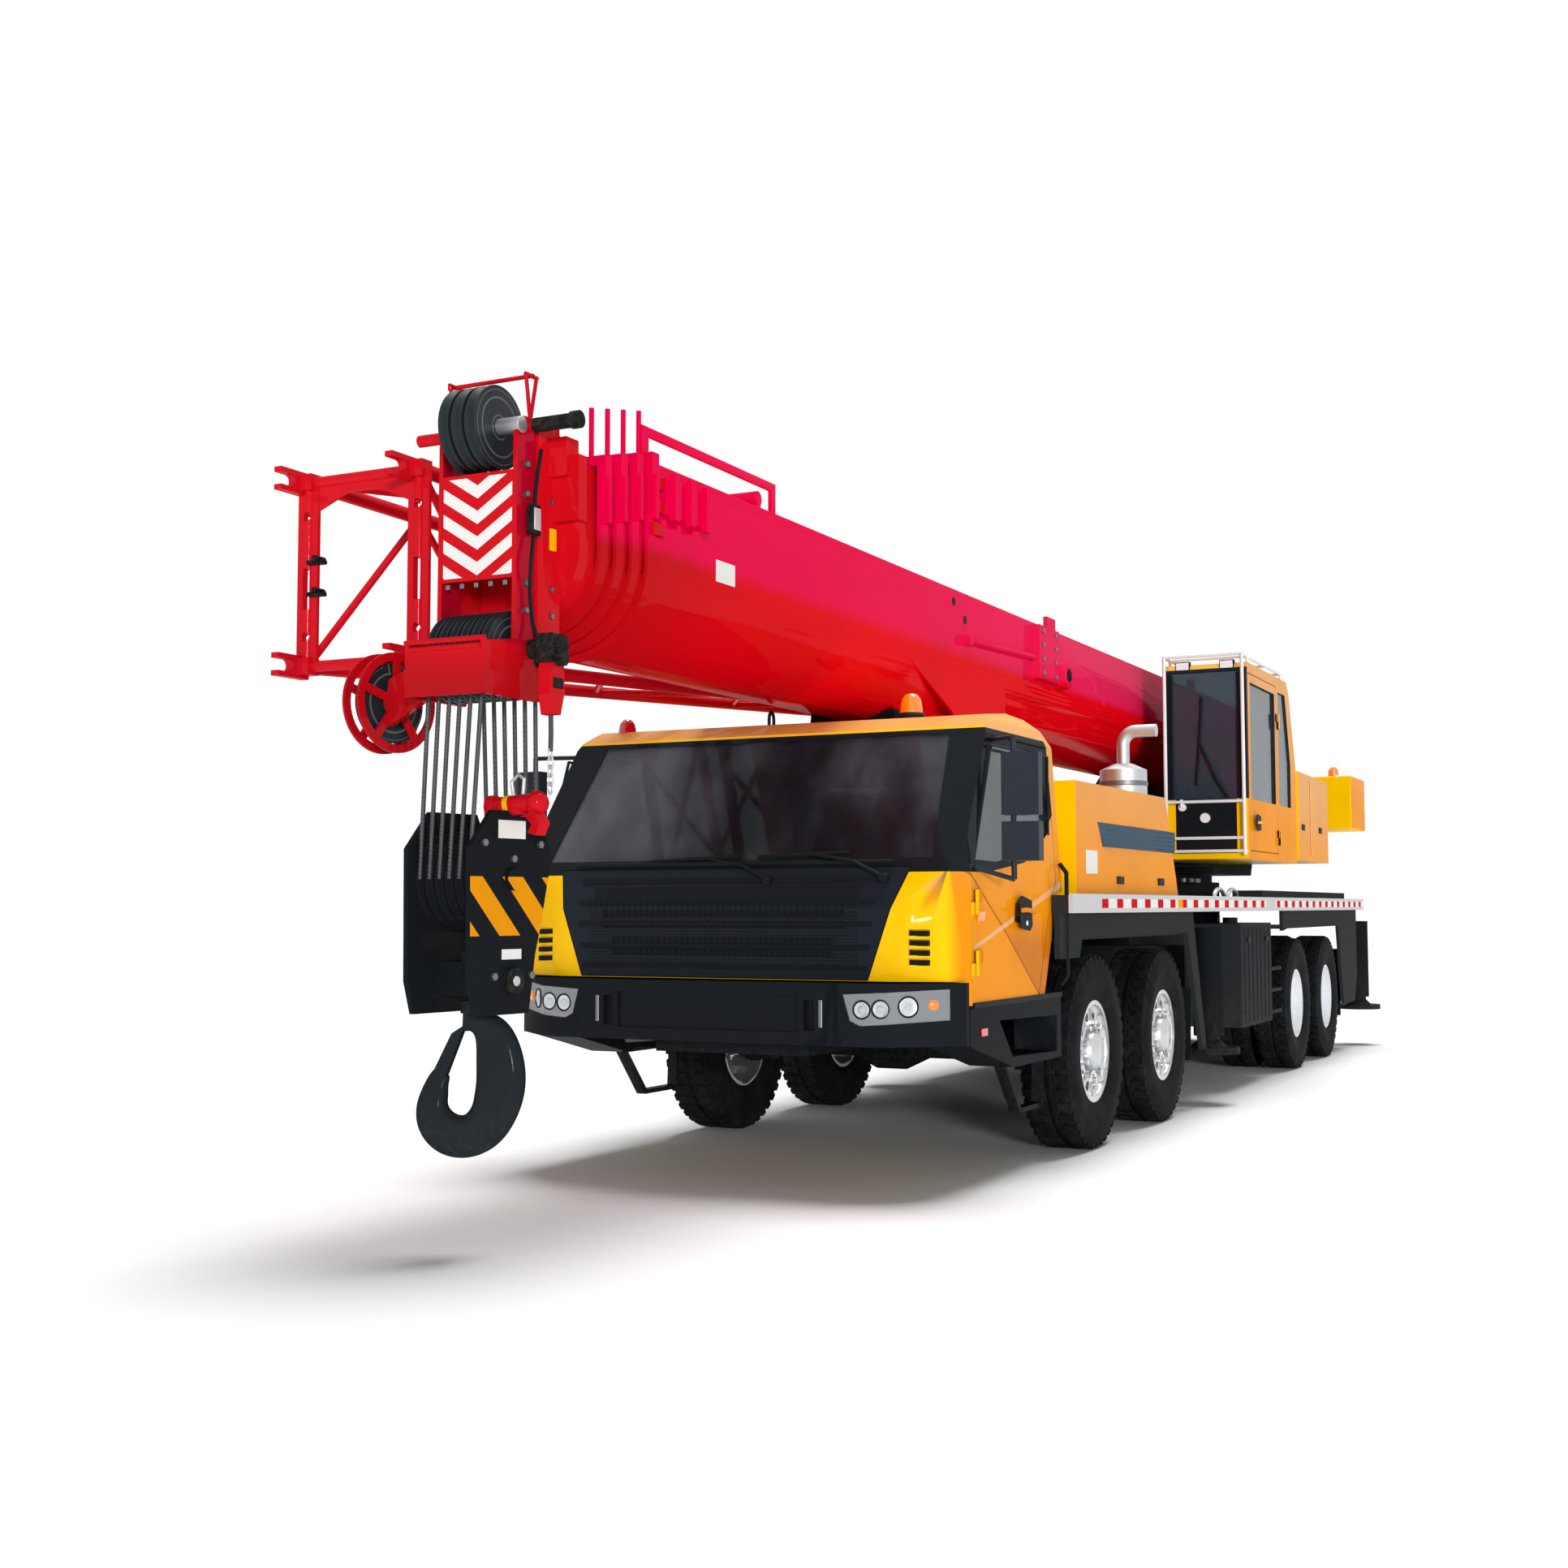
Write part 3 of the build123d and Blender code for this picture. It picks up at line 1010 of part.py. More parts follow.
# ---- hook block, its falls of rope and the hook ----
block_sheave_r = 190
block_axle_z = 1480
cheek_x = 152
cheek_t = 23
block_half_d = 245
cheek_outline = [(42 - block_half_d, block_bottom), (5 - block_half_d, block_bottom + 130),
                 (-block_half_d, block_top - 150),
                 (127 - block_half_d, block_top), (block_half_d - 90, block_top),
                 (block_half_d, block_top - 180),
                 (block_half_d - 28, block_top - 270), (block_half_d - 70, block_top - 450),
                 (block_half_d - 104, block_top - 570), (block_half_d - 141, block_bottom)]
hook_block = mirrored(plate_x(cheek_outline, cheek_x, cheek_x + cheek_t))
hook_block += rod_x(-cheek_x - cheek_t - 18, cheek_x + cheek_t + 18, 0, block_axle_z, 45)
for x in fall_x:
    hook_block += sheave(x, 0, block_axle_z, block_sheave_r, 40)
for y, z in ((-150, block_top - 205), (-120, block_top - 420), (100, block_top - 470)):
    hook_block += rod_x(-cheek_x, cheek_x, y, z, 11)
trunnion_top = block_bottom + 205
nut_h = 38
trunnion = block(-cheek_x, cheek_x, -75, 75, block_bottom + 70, trunnion_top)
shank_r = 42
trunnion -= Pos(0, 0, block_bottom + 120) * Cylinder(shank_r + seat_gap, 200)
hook_block += trunnion
for side in (-1, 1):
    hook_block += rod_x(*sorted((side * (cheek_x + cheek_t - 1), side * (cheek_x + cheek_t + 14))), 0,
                        block_bottom + 138, 46)
nodes["hook_block"] = Pos(hang_x, hang_y, 0) * Rot(0, 0, block_twist) * hook_block

falls = None
twist = math.radians(block_twist)
for x in fall_x:
    for side in (-1, 1):
        low_y = side * (block_sheave_r + fall_r + seat_gap)
        top = (x, hang_y + side * (low_sheave_r + fall_r + seat_gap), swing_z)
        low = (hang_x + x * math.cos(twist) - low_y * math.sin(twist),
               hang_y + x * math.sin(twist) + low_y * math.cos(twist), block_axle_z)
        fall = rod(low, top, fall_r)
        falls = fall if falls is None else falls + fall
nodes["rope_falls"] = falls

# forged hook: sections fanned about the middle of its throat, as (angle, inner, outer, half thickness)
throat = (-60, 640)
hook_fan = [(88, 236, 352, 40), (66, 150, 330, 44), (42, 82, 300, 50), (20, 62, 268, 54), (-4, 55, 248, 56),
            (-28, 58, 242, 57), (-55, 72, 252, 57), (-84, 92, 260, 55), (-112, 92, 254, 52),
            (-140, 80, 226, 48),
            (-166, 62, 186, 40), (172, 60, 158, 32), (148, 66, 146, 24), (134, 76, 138, 16)]
hook_sections = []
for angle, inner, outer, half_t in hook_fan:
    c, s = math.cos(math.radians(angle)), math.sin(math.radians(angle))
    middle = (inner + outer) / 2
    plane = Plane(origin=(throat[0] + middle * c, 0, throat[1] + middle * s), x_dir=(c, 0, s),
                  z_dir=(s, 0, -c))
    width = outer - inner
    hook_sections.append(plane * RectangleRounded(width, 2 * half_t, 0.42 * min(width, 2 * half_t)))
hook = loft(hook_sections)
hook += Pos(0, 0, (block_bottom + 150 + 900) / 2) * Cylinder(shank_r, block_bottom + 150 - 900)
hook += Pos(0, 0, block_bottom + 25) * Cylinder(68, 50)
hook += Pos(0, 0, trunnion_top + seat_gap + nut_h / 2) * Cylinder(72, nut_h)
hook += Pos(0, 0, (trunnion_top + block_bottom) / 2) * Cylinder(shank_r, trunnion_top - block_bottom + 20)
# latch across the mouth
latch_top = (-52, 915)
hook += plate_y([(latch_top[0] - 48, 870), (latch_top[0] + 6, 905), (-124, 700), (-172, 722)], -24, 24)
nodes["hook"] = Pos(hang_x, hang_y, 0) * Rot(0, 0, 20) * hook

# ---- lift cylinder ----
lift_dy = lift_head_y - lift_base_y
lift_dz = lift_head_z - lift_base_z
lift_length = math.hypot(lift_dy, lift_dz)
lift_plane = Plane(origin=(0, lift_base_y, lift_base_z), z_dir=(0, lift_dy, lift_dz), x_dir=(1, 0, 0))
eye_r = 95
gland = lift_length - 290
barrel = Pos(0, 0, (110 + gland) / 2) * Cylinder(barrel_r, gland - 110)
barrel += Pos(0, 0, gland - 45) * Cylinder(barrel_r + 18, 90)
barrel += Pos(0, 0, 60) * Box(150, 150, 140)
barrel += Rot(0, 90, 0) * Cylinder(eye_r, 150)
barrel -= Pos(0, 0, (170 + gland) / 2 + 5) * Cylinder(rod_r + 12, gland - 160)
barrel += Pos(0, 0, gland - 45) * (Cylinder(barrel_r + 18, 90) - Cylinder(rod_r + pin_clear, 91))
barrel -= Rot(0, 90, 0) * Cylinder(lift_pin_r + pin_clear, 160)
nodes["lift_barrel"] = lift_plane * barrel
lift_rod = Pos(0, 0, (220 + lift_length) / 2) * Cylinder(rod_r, lift_length - 220)
lift_rod += Pos(0, 0, lift_length) * Rot(0, 90, 0) * Cylinder(eye_r, 2 * head_ear_gap - 12)
lift_rod -= Pos(0, 0, lift_length) * Rot(0, 90, 0) * Cylinder(lift_pin_r + pin_clear, 2 * head_ear_gap)
nodes["lift_rod"] = lift_plane * lift_rod

for name, shape in nodes.items():
    export_step(shape, f"parts/{name}.step")
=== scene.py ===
import math
import bmesh
import bpy
from mathutils import Matrix, Vector


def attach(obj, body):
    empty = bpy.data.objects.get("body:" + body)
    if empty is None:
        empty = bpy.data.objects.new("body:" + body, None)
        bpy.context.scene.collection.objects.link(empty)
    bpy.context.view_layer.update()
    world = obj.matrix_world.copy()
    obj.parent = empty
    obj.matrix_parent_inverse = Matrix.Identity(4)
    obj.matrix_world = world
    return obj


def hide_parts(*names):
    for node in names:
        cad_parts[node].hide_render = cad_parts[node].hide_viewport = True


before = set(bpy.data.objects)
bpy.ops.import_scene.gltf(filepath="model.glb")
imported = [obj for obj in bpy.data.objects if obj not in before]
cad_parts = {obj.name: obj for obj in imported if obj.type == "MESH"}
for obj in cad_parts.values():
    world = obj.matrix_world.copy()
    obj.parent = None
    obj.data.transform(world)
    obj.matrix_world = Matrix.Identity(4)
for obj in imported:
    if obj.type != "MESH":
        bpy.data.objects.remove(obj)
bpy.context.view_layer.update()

cameraSpec = {"place": (4.366, -12.617, 1.367), "heading": 26.6, "rise": 3.85, "roll": -0.1, "lens": 42.09,
              "sensor": 36.0}


def placed(name, data):  # a new object in the scene
    thing = bpy.data.objects.new(name, data)
    bpy.context.collection.objects.link(thing)
    return thing


def turned(*steps):  # one rotation after another, in degrees
    whole = Matrix.Identity(4)
    for angle, axis in steps:
        whole = whole @ Matrix.Rotation(math.radians(angle), 4, axis)
    return whole


def makeCamera():
    data = bpy.data.cameras.new("camera")
    data.lens = cameraSpec["lens"]
    data.sensor_width = cameraSpec["sensor"]
    camera = placed("camera", data)
    turn = turned((cameraSpec["heading"], "Z"), (90 + cameraSpec["rise"], "X"), (cameraSpec["roll"], "Z"))
    camera.matrix_world = Matrix.Translation(cameraSpec["place"]) @ turn
    bpy.context.scene.camera = camera


makeCamera()
print("camera placed")


# shader maths
class Value:  # a socket that can be added, scaled and compared like a number
    def __init__(self, net, socket):
        self.net, self.socket = net, socket

    def maths(self, kind, other=0.0, swapped=False):
        first, second = (other, self) if swapped else (self, other)
        return self.net.add("ShaderNodeMath", {"operation": kind}, {0: first, 1: second})

    def __rsub__(self, other):
        return self.maths("SUBTRACT", other, True)

    def inside(self, low, high):
        return (self > low) * (self < high)

    def fade(self, low, high):  # 0 below low, 1 above high
        sockets = {"Value": self, "From Min": low, "From Max": high}
        return self.net.add("ShaderNodeMapRange", {"interpolation_type": "SMOOTHSTEP"}, sockets)


def mathsMethod(kind):
    return lambda value, other=0.0: value.maths(kind, other)


for methodName, mathsKind in {
        "__add__": "ADD", "__sub__": "SUBTRACT", "__mul__": "MULTIPLY", "__mod__": "FLOORED_MODULO",
        "__pow__": "POWER", "__gt__": "GREATER_THAN", "__lt__": "LESS_THAN", "least": "MINIMUM",
        "most": "MAXIMUM", "size": "ABSOLUTE", "wave": "SINE"}.items():
    setattr(Value, methodName, mathsMethod(mathsKind))


class Nodes:  # what a material, the sky and a geometry tree have in common
    def __init__(self, tree):
        self.tree = tree

    def add(self, kind, settings=None, sockets=None, out=0):
        node = self.tree.nodes.new(kind)
        for key, value in (settings or {}).items():
            setattr(node, key, value)
        for key, value in (sockets or {}).items():
            self.feed(node.inputs[key], value)
        return Value(self, node.outputs[out]) if len(node.outputs) else None

    def feed(self, socket, value):
        if isinstance(value, Value):
            self.tree.links.new(value.socket, socket)
        else:
            socket.default_value = value


class Net(Nodes):  # one material and its nodes
    def __init__(self, name):
        self.material = bpy.data.materials.new(name)
        self.material.use_nodes = True
        super().__init__(self.material.node_tree)
        self.tree.nodes.clear()
        self.where = self.add("ShaderNodeTexCoord", out="Object")
        self.facing = self.add("ShaderNodeTexCoord", out="Normal")
        self.x, self.y, self.z = self.split(self.where)
        self.side, self.ahead, self.up = self.split(self.facing)

    def split(self, whole):
        return [self.add("ShaderNodeSeparateXYZ", {}, {0: whole}, out=axis) for axis in ("X", "Y", "Z")]

    def noise(self, scale, detail=4.0, rough=0.55, where=None):
        sockets = {"Vector": where or self.where, "Scale": scale, "Detail": detail, "Roughness": rough}
        return self.add("ShaderNodeTexNoise", {}, sockets, out="Fac")

    def stretched(self, x, y, z):  # object coordinates scaled along each axis
        return self.add("ShaderNodeVectorMath", {"operation": "MULTIPLY"}, {0: self.where, 1: (x, y, z)})

    def mix(self, share, first, second):
        return self.add("ShaderNodeMix", {"data_type": "RGBA"}, {0: share, 6: first, 7: second}, out=2)

    def bump(self, height, strength, distance):
        sockets = {"Height": height, "Strength": strength, "Distance": distance}
        return self.add("ShaderNodeBump", {}, sockets, out="Normal")

    def finish(self, **sockets):
        named = {key.replace("_", " "): value for key, value in sockets.items()}
        shader = self.add("ShaderNodeBsdfPrincipled", {}, named, out="BSDF")
        self.add("ShaderNodeOutputMaterial", {}, {"Surface": shader})
        return self.material


def tone(red, green, blue):  # linear colour from 0 to 255 steps
    steps = [channel / 255 for channel in (red, green, blue)]
    return tuple(s / 12.92 if s <= 0.04045 else ((s + 0.055) / 1.055) ** 2.4 for s in steps) + (1.0,)


def shade(colour, share):
    return tuple(channel * share for channel in colour[:3]) + (1.0,)


# paints
paint = {"orangePeel": 240.0, "cloud": 1.6, "speck": 34.0, "dustLow": 0.2, "dust": tone(112, 104, 92),
         "soot": tone(18, 15, 13)}


def paintFinish(net, colour, rough=0.26, dustTop=0.95, dustShare=0.2, peel=0.05, coat=0.16):
    cloud = net.noise(paint["cloud"])
    speck = net.noise(paint["speck"], 6.0, 0.7)
    dust = (1.0 - net.z.fade(paint["dustLow"], dustTop)) * speck.fade(0.35, 0.75) * dustShare
    worn = net.mix(cloud.fade(0.4, 0.75) * 0.08, colour, paint["soot"])
    skin = net.bump(net.noise(paint["orangePeel"], 2.0), peel, 0.002)
    return net.finish(Base_Color=net.mix(dust, worn, paint["dust"]), Coat_Weight=coat, Coat_Roughness=0.06,
                      Roughness=cloud * 0.12 + dust * 0.4 + rough, Specular_IOR_Level=0.0, Normal=skin)


def plainPaint(name, colour, rough=0.26, **more):
    return paintFinish(Net(name), colour, rough, **more)


# yellow ahead, orange on the sides, paler towards the top: lit and shaded copies of one yellow, painted light
# and shade by which way a skin faces
machineTones = {"front": tone(255, 200, 3), "side": tone(236, 146, 12), "sideTopLit": tone(226, 166, 104),
                "top": tone(232, 170, 92), "black": tone(24, 29, 34), "lining": tone(38, 41, 45)}


def machineColourAndLight(net, low=1.2, high=2.6):
    # painted shade on skins that face the sides, painted light higher up them and on skins that face up
    side = net.mix(net.z.fade(low, high), machineTones["side"], machineTones["sideTopLit"])
    colour = net.mix(net.side.size().fade(0.55, 0.85), machineTones["front"], side)
    return net.mix(net.up.fade(0.5, 0.8), colour, machineTones["top"])


def lined(net, colour, middle):  # skins that face a cab's middle are dark grey
    inward = net.side * (net.x - middle[0]) + net.ahead * (net.y - middle[1]) + net.up * (net.z - middle[2])
    return net.mix(inward < -0.02, colour, machineTones["lining"])


def coverPaint(name, low=1.2, high=2.6):
    net = Net(name)
    return paintFinish(net, machineColourAndLight(net, low, high), 0.24)


cabMarks = {"flank": 1.2, "belt": 1.535, "frameTop": 2.262, "rearPillar": -3.02, "doorFront": -4.38,
            "seamHalf": 0.007, "panelTop": 1.4, "seam": tone(146, 78, 20), "stripe": tone(232, 196, 160),
            "shadow": tone(196, 106, 18)}


def overLine(net, y, z, slope):  # height above a line through y and z that falls to the rear
    return net.z + net.y * slope - (z + y * slope)


def cabPaint():
    net = Net("cabPaint")
    x, y, z = net.x, net.y, net.z
    colour = machineColourAndLight(net, 1.3, 2.5)
    flank = x.size() > cabMarks["flank"]
    # black round the windows: above the rising belt line, below the roof, ahead of the rear pillar
    belt = (y * 0.105 + 1.975).most(y * 0.3 + 2.68).most(cabMarks["belt"]).most(y * 0.62 + 3.79)
    black = (z > belt) * (z < cabMarks["frameTop"]) * (y < z * -0.05 + cabMarks["rearPillar"])
    # door: darker upper triangle behind a seam, and a pale stripe that rises to the rear
    seam = overLine(net, -4.391, 1.512, 0.587).most(overLine(net, -3.921, 1.236, 0.654))
    line = (seam.size() < cabMarks["seamHalf"]) * flank * (z < belt)
    dark = (seam > 0.0) * (z < cabMarks["panelTop"]) * (1.0 - z.fade(1.12, 1.42)) * flank
    rise = z - (y * 0.239 + 2.2166)
    stripe = (rise.size() < y * 0.006 + 0.036) * flank * (y > cabMarks["doorFront"]) * (z < belt)
    colour = net.mix(dark * 0.75, colour, cabMarks["shadow"])
    colour = net.mix(line * 0.8, colour, cabMarks["seam"])
    colour = net.mix(stripe * 0.55, colour, cabMarks["stripe"])
    colour = net.mix(black, colour, machineTones["black"])
    colour = lined(net, colour, (0.0, -3.83, 1.65))
    return paintFinish(net, colour, 0.2)


operatorMarks = {"middle": 0.97, "halfPanel": 0.235, "front": 1.45}


def operatorPaint():
    net = Net("operatorPaint")
    colour = machineColourAndLight(net, 1.9, 3.2)
    across = (net.x - operatorMarks["middle"]).size()
    panel = (across < operatorMarks["halfPanel"]) * net.z.inside(1.775, 2.205)
    black = (net.y < operatorMarks["front"]) * panel.most(net.z.inside(2.19, 3.2))
    colour = net.mix(black, colour, machineTones["black"])
    colour = lined(net, colour, (operatorMarks["middle"], 2.3, 2.5))
    return paintFinish(net, colour, 0.22)


# one red paint with painted light and shade: magenta upper panels and side plates, paler far boom, darker
# near front and chin; white is the head's warning stripes
boomTones = {"upper": tone(226, 0, 70), "upperFarLit": tone(226, 34, 88), "lower": tone(222, 2, 18),
             "lowerNearShade": tone(190, 12, 22), "head": tone(204, 12, 26), "chinShade": tone(176, 12, 22),
             "plate": tone(178, 6, 38), "white": tone(236, 232, 228)}


def boomPaint():
    net = Net("boomPaint")
    # painted light on the upper panels, paler farther back, and painted shade on the lower front
    far = net.y.fade(-5.5, 1.5)
    near = 1.0 - net.y.fade(-6.2, -4.6)
    upper = net.mix(far, boomTones["upper"], boomTones["upperFarLit"])
    lower = net.mix(near, boomTones["lower"], boomTones["lowerNearShade"])
    colour = net.mix(net.z.fade(2.85, 2.94), lower, upper)
    return paintFinish(net, colour, 0.2, coat=0.1)


def headPaint():
    net = Net("headPaint")
    x, y, z = net.x, net.y, net.z
    plate = (net.side.size() > 0.8) * (y < -6.521) * (z > 2.41)
    # painted shade darkens the head below 2.2 to 2.45 m, and painted light tints the side plates magenta as
    # on the boom
    colour = net.mix(1.0 - z.fade(2.2, 2.45), boomTones["head"], boomTones["chinShade"])
    colour = net.mix(plate, colour, boomTones["plate"])
    panel = (net.ahead < -0.7) * (y < -6.64) * z.inside(2.695, 3.1) * (x.size() < 0.168)
    rows = (z - x.size() * 0.62 - 2.7) % 0.104
    colour = net.mix(panel * (rows < 0.054), colour, boomTones["white"])
    return paintFinish(net, colour, 0.26)


blockMarks = {"black": tone(26, 29, 32), "yellow": tone(226, 146, 16)}


def blockPaint():
    net = Net("blockPaint")
    cheek = (net.side * (net.x + 0.012)) > 0.13
    band = ((net.y + net.z * 0.96 + 0.055) % 0.236) < 0.122
    marks = cheek * band * net.z.inside(1.258, 1.489)
    colour = net.mix(marks, blockMarks["black"], blockMarks["yellow"])
    return paintFinish(net, colour, 0.34, dustTop=0.4, coat=0.04)


deckMarks = {"edge": 1.352, "sill": 1.332, "tapeFront": -2.7, "tapeStep": 0.292, "tapeRed": 0.125,
             "grey": tone(44, 47, 49), "strip": tone(196, 198, 200), "red": tone(196, 22, 34),
             "white": tone(228, 226, 222), "amber": tone(236, 158, 24), "scuff": tone(118, 118, 116)}


def deckPaint():
    net = Net("deckPaint")
    x, y, z = net.x, net.y, net.z
    edge = (x.size() > deckMarks["edge"]) * (z > deckMarks["sill"])
    tape = edge * z.inside(1.36, 1.412) * (net.side.size() > 0.7) * (y > deckMarks["tapeFront"])
    tape = tape * ((y - 1.75).size() > 0.17)
    place = (y + 10.0) % deckMarks["tapeStep"]
    colour = net.mix(edge, deckMarks["grey"], deckMarks["strip"])
    colour = net.mix(tape, colour, deckMarks["white"])
    colour = net.mix(tape * (place < deckMarks["tapeRed"]), colour, deckMarks["red"])
    colour = net.mix(tape * ((y + 0.99).size() < 0.06), colour, deckMarks["amber"])
    # raised tread pattern on the walking surface
    tread = (((x + y) * 90.0).wave() * ((x - y) * 90.0).wave()).fade(0.35, 0.7)
    flat = net.up.fade(0.8, 0.9)
    cloud = net.noise(1.8)
    scuff = net.noise(40.0, 6.0, 0.7).fade(0.5, 0.8) * flat * 0.4
    return net.finish(Base_Color=net.mix(scuff, colour, deckMarks["scuff"]), Coat_Weight=0.04,
                      Roughness=cloud * 0.15 + scuff * 0.2 + 0.34, Specular_IOR_Level=0.0,
                      Coat_Roughness=0.1, Normal=net.bump(tread * flat, 0.35, 0.004))


def jackPaint():
    net = Net("jackPaint")
    band = ((net.x.size() + net.z + net.y * 0.3) % 0.2) < 0.1
    rear = (net.y > 6.0) * net.z.inside(0.5, 1.2)
    colour = net.mix(rear * band, tone(24, 26, 28), tone(236, 184, 16))
    return paintFinish(net, colour, 0.38, coat=0.1)


def sheavePaint():
    net = Net("sheaveBlack")
    radii = []
    for y, z in ((-6.62, 3.3), (-6.6, 2.37), (-6.69, 2.199)):
        across, rise = net.y - y, net.z - z
        radii.append((across * across + rise * rise) ** 0.5)
    near = radii[0].least(radii[1]).least(radii[2])
    # lighter rings round each sheave are painted highlights on its edges, with a bump
    rings = near.inside(0.116, 0.124).most(near.inside(0.046, 0.052)).most(near.inside(0.15, 0.1535))
    cloud = net.noise(14.0)
    colour = net.mix(cloud * 0.3, tone(30, 38, 44), tone(16, 19, 22))
    colour = net.mix(rings * 0.8, colour, tone(96, 106, 114))
    return net.finish(Base_Color=colour, Roughness=cloud * 0.15 + 0.3, Specular_IOR_Level=0.2,
                      Normal=net.bump(rings, 0.4, 0.004))


def rubber():
    net = Net("tyreRubber")
    cloud = net.noise(9.0, 6.0)
    dusty = net.noise(2.2, 3.0).fade(0.45, 0.7) * 0.5
    colour = net.mix(cloud.fade(0.4, 0.75) * 0.4 + dusty * 0.3, tone(20, 21, 23), tone(48, 48, 49))
    return net.finish(Base_Color=colour, Roughness=cloud * 0.15 + 0.7, Specular_IOR_Level=0.04,
                      Normal=net.bump(net.noise(380.0, 3.0), 0.25, 0.001))


def metal(name, colour, rough, metallic=0.9, grain=300.0):
    net = Net(name)
    cloud = net.noise(12.0, 5.0)
    return net.finish(Base_Color=net.mix(cloud * 0.25, colour, shade(colour, 0.55)), Metallic=metallic,
                      Roughness=cloud * 0.2 + rough, Normal=net.bump(net.noise(grain, 2.0), 0.12, 0.001))


def plastic(name, colour, rough=0.45):
    net = Net(name)
    cloud = net.noise(6.0)
    return net.finish(Base_Color=net.mix(cloud * 0.3, colour, shade(colour, 0.5)),
                      Roughness=cloud * 0.15 + rough, Specular_IOR_Level=0.06,
                      Normal=net.bump(net.noise(600.0, 2.0), 0.15, 0.0006))


def glass(name, colour, alpha, sheen=0.6):
    net = Net(name)
    smear = net.noise(3.0, 3.0)
    return net.finish(Base_Color=colour, Roughness=smear * 0.04 + 0.02, Alpha=smear * 0.08 + alpha,
                      Coat_Weight=sheen, Coat_Roughness=0.02)


def screenGlass():
    net = Net("screenGlass")
    # painted reflection: a cloudy band of trees and a sky gradient lighten the glass and make it less
    # see-through where the trees are
    trees = net.noise(1.0, 8.0, 0.62, net.stretched(1.6, 1.0, 0.8)).fade(0.35, 0.72)
    sky = ((net.x + 0.9) * -0.5 + (net.z - 1.9) * 0.2).fade(-0.35, 0.5)
    paintedReflection = trees * 0.2 + sky * 0.34
    colour = net.mix(paintedReflection, tone(22, 28, 34), tone(158, 166, 176))
    return net.finish(Base_Color=colour, Roughness=0.05, Alpha=trees * 0.1 + 0.66, Coat_Weight=0.1,
                      Specular_IOR_Level=0.1, Coat_Roughness=0.02)


def lampGlass(name, colour, glow=0.0):
    net = Net(name)
    ribs = (net.z * 520.0).wave().fade(-0.5, 0.8)
    cloud = net.noise(20.0, 2.0)
    return net.finish(Base_Color=net.mix(ribs * 0.25 + cloud * 0.1, colour, shade(colour, 0.45)),
                      Roughness=cloud * 0.1 + 0.08, Coat_Weight=0.8, Coat_Roughness=0.03,
                      Emission_Color=colour, Emission_Strength=glow)


def ropeMetal():
    net = Net("wireRope")
    lay = ((net.z + net.x * 2.2 + net.y * 2.2) * 330.0).wave().fade(-0.6, 0.6)
    cloud = net.noise(8.0, 5.0)
    colour = net.mix(lay, tone(26, 27, 30), tone(104, 106, 110))
    return net.finish(Base_Color=net.mix(cloud * 0.4, colour, tone(20, 20, 22)), Metallic=0.6,
                      Roughness=cloud * 0.2 + 0.36, Normal=net.bump(lay, 0.5, 0.003))


# colour, roughness and what else differs from the usual
plainRows = {
    "chassis": ((24, 27, 30), 0.42, {"coat": 0.03}),
    "bumper": ((22, 26, 31), 0.32, {"dustShare": 0.1, "coat": 0.1}),
    "grey": ((44, 47, 50), 0.36, {"coat": 0.04}),
    "jib": ((206, 18, 34), 0.3, {}),
    "red": ((200, 14, 28), 0.3, {}),
    "black": ((20, 22, 25), 0.35, {"dustTop": 0.1, "coat": 0.08}),
    "hook": ((34, 39, 43), 0.42, {"dustTop": 0.75, "dustShare": 0.15, "peel": 0.25, "coat": 0.08}),
    "white": ((232, 234, 236), 0.3, {"dustShare": 0.1}),
    "plate": ((226, 226, 222), 0.4, {"dustShare": 0.1}),
    "yellow": ((246, 190, 10), 0.3, {}),
    "rimWhite": ((228, 231, 234), 0.3, {}),
    "hatch": ((58, 82, 100), 0.35, {"dustShare": 0.15}),
    # the cab's side orange, a painted-shade copy of its yellow
    "cabSide": ((216, 132, 24), 0.3, {})}
metalRows = {
    "rim": ((206, 208, 210), 0.2), "nut": ((230, 232, 234), 0.12), "silver": ((198, 200, 202), 0.3),
    "chrome": ((224, 226, 228), 0.1), "bolt": ((120, 122, 124), 0.35),
    "mirrorGlass": ((226, 230, 234), 0.03, 1.0)}
plasticRows = {
    "rubberFlat": ((24, 25, 27), 0.7), "seam": ((96, 62, 22), 0.5), "trim": ((26, 28, 31),),
    "mirror": ((46, 52, 60), 0.22), "grille": ((32, 38, 46), 0.3), "seat": ((34, 35, 38), 0.85)}
lampRows = {"amber": ((244, 128, 10), 0.25), "redLens": ((206, 14, 18), 0.1), "lamp": ((236, 238, 240), 0.1)}
finishes = {
    "deck": deckPaint(), "cab": cabPaint(), "operator": operatorPaint(),
    "cover": coverPaint("coverPaint", 1.4, 2.5), "counterweight": coverPaint("slabPaint", 2.2, 3.4),
    "boom": boomPaint(), "head": headPaint(), "block": blockPaint(), "jack": jackPaint(),
    "rubber": rubber(), "rope": ropeMetal(), "sheave": sheavePaint(), "screen": screenGlass(),
    "glass": glass("tintedGlass", tone(46, 68, 80), 0.62, 0.3),
    "clear": glass("clearLens", tone(214, 222, 230), 0.28, 1.0)}
for key, (steps, rough, more) in plainRows.items():
    finishes[key] = plainPaint(key + "Plain", tone(*steps), rough, **more)
for maker, finishRows in ((metal, metalRows), (plastic, plasticRows), (lampGlass, lampRows)):
    for key, (steps, *more) in finishRows.items():
        finishes[key] = maker(key + "Finish", tone(*steps), *more)


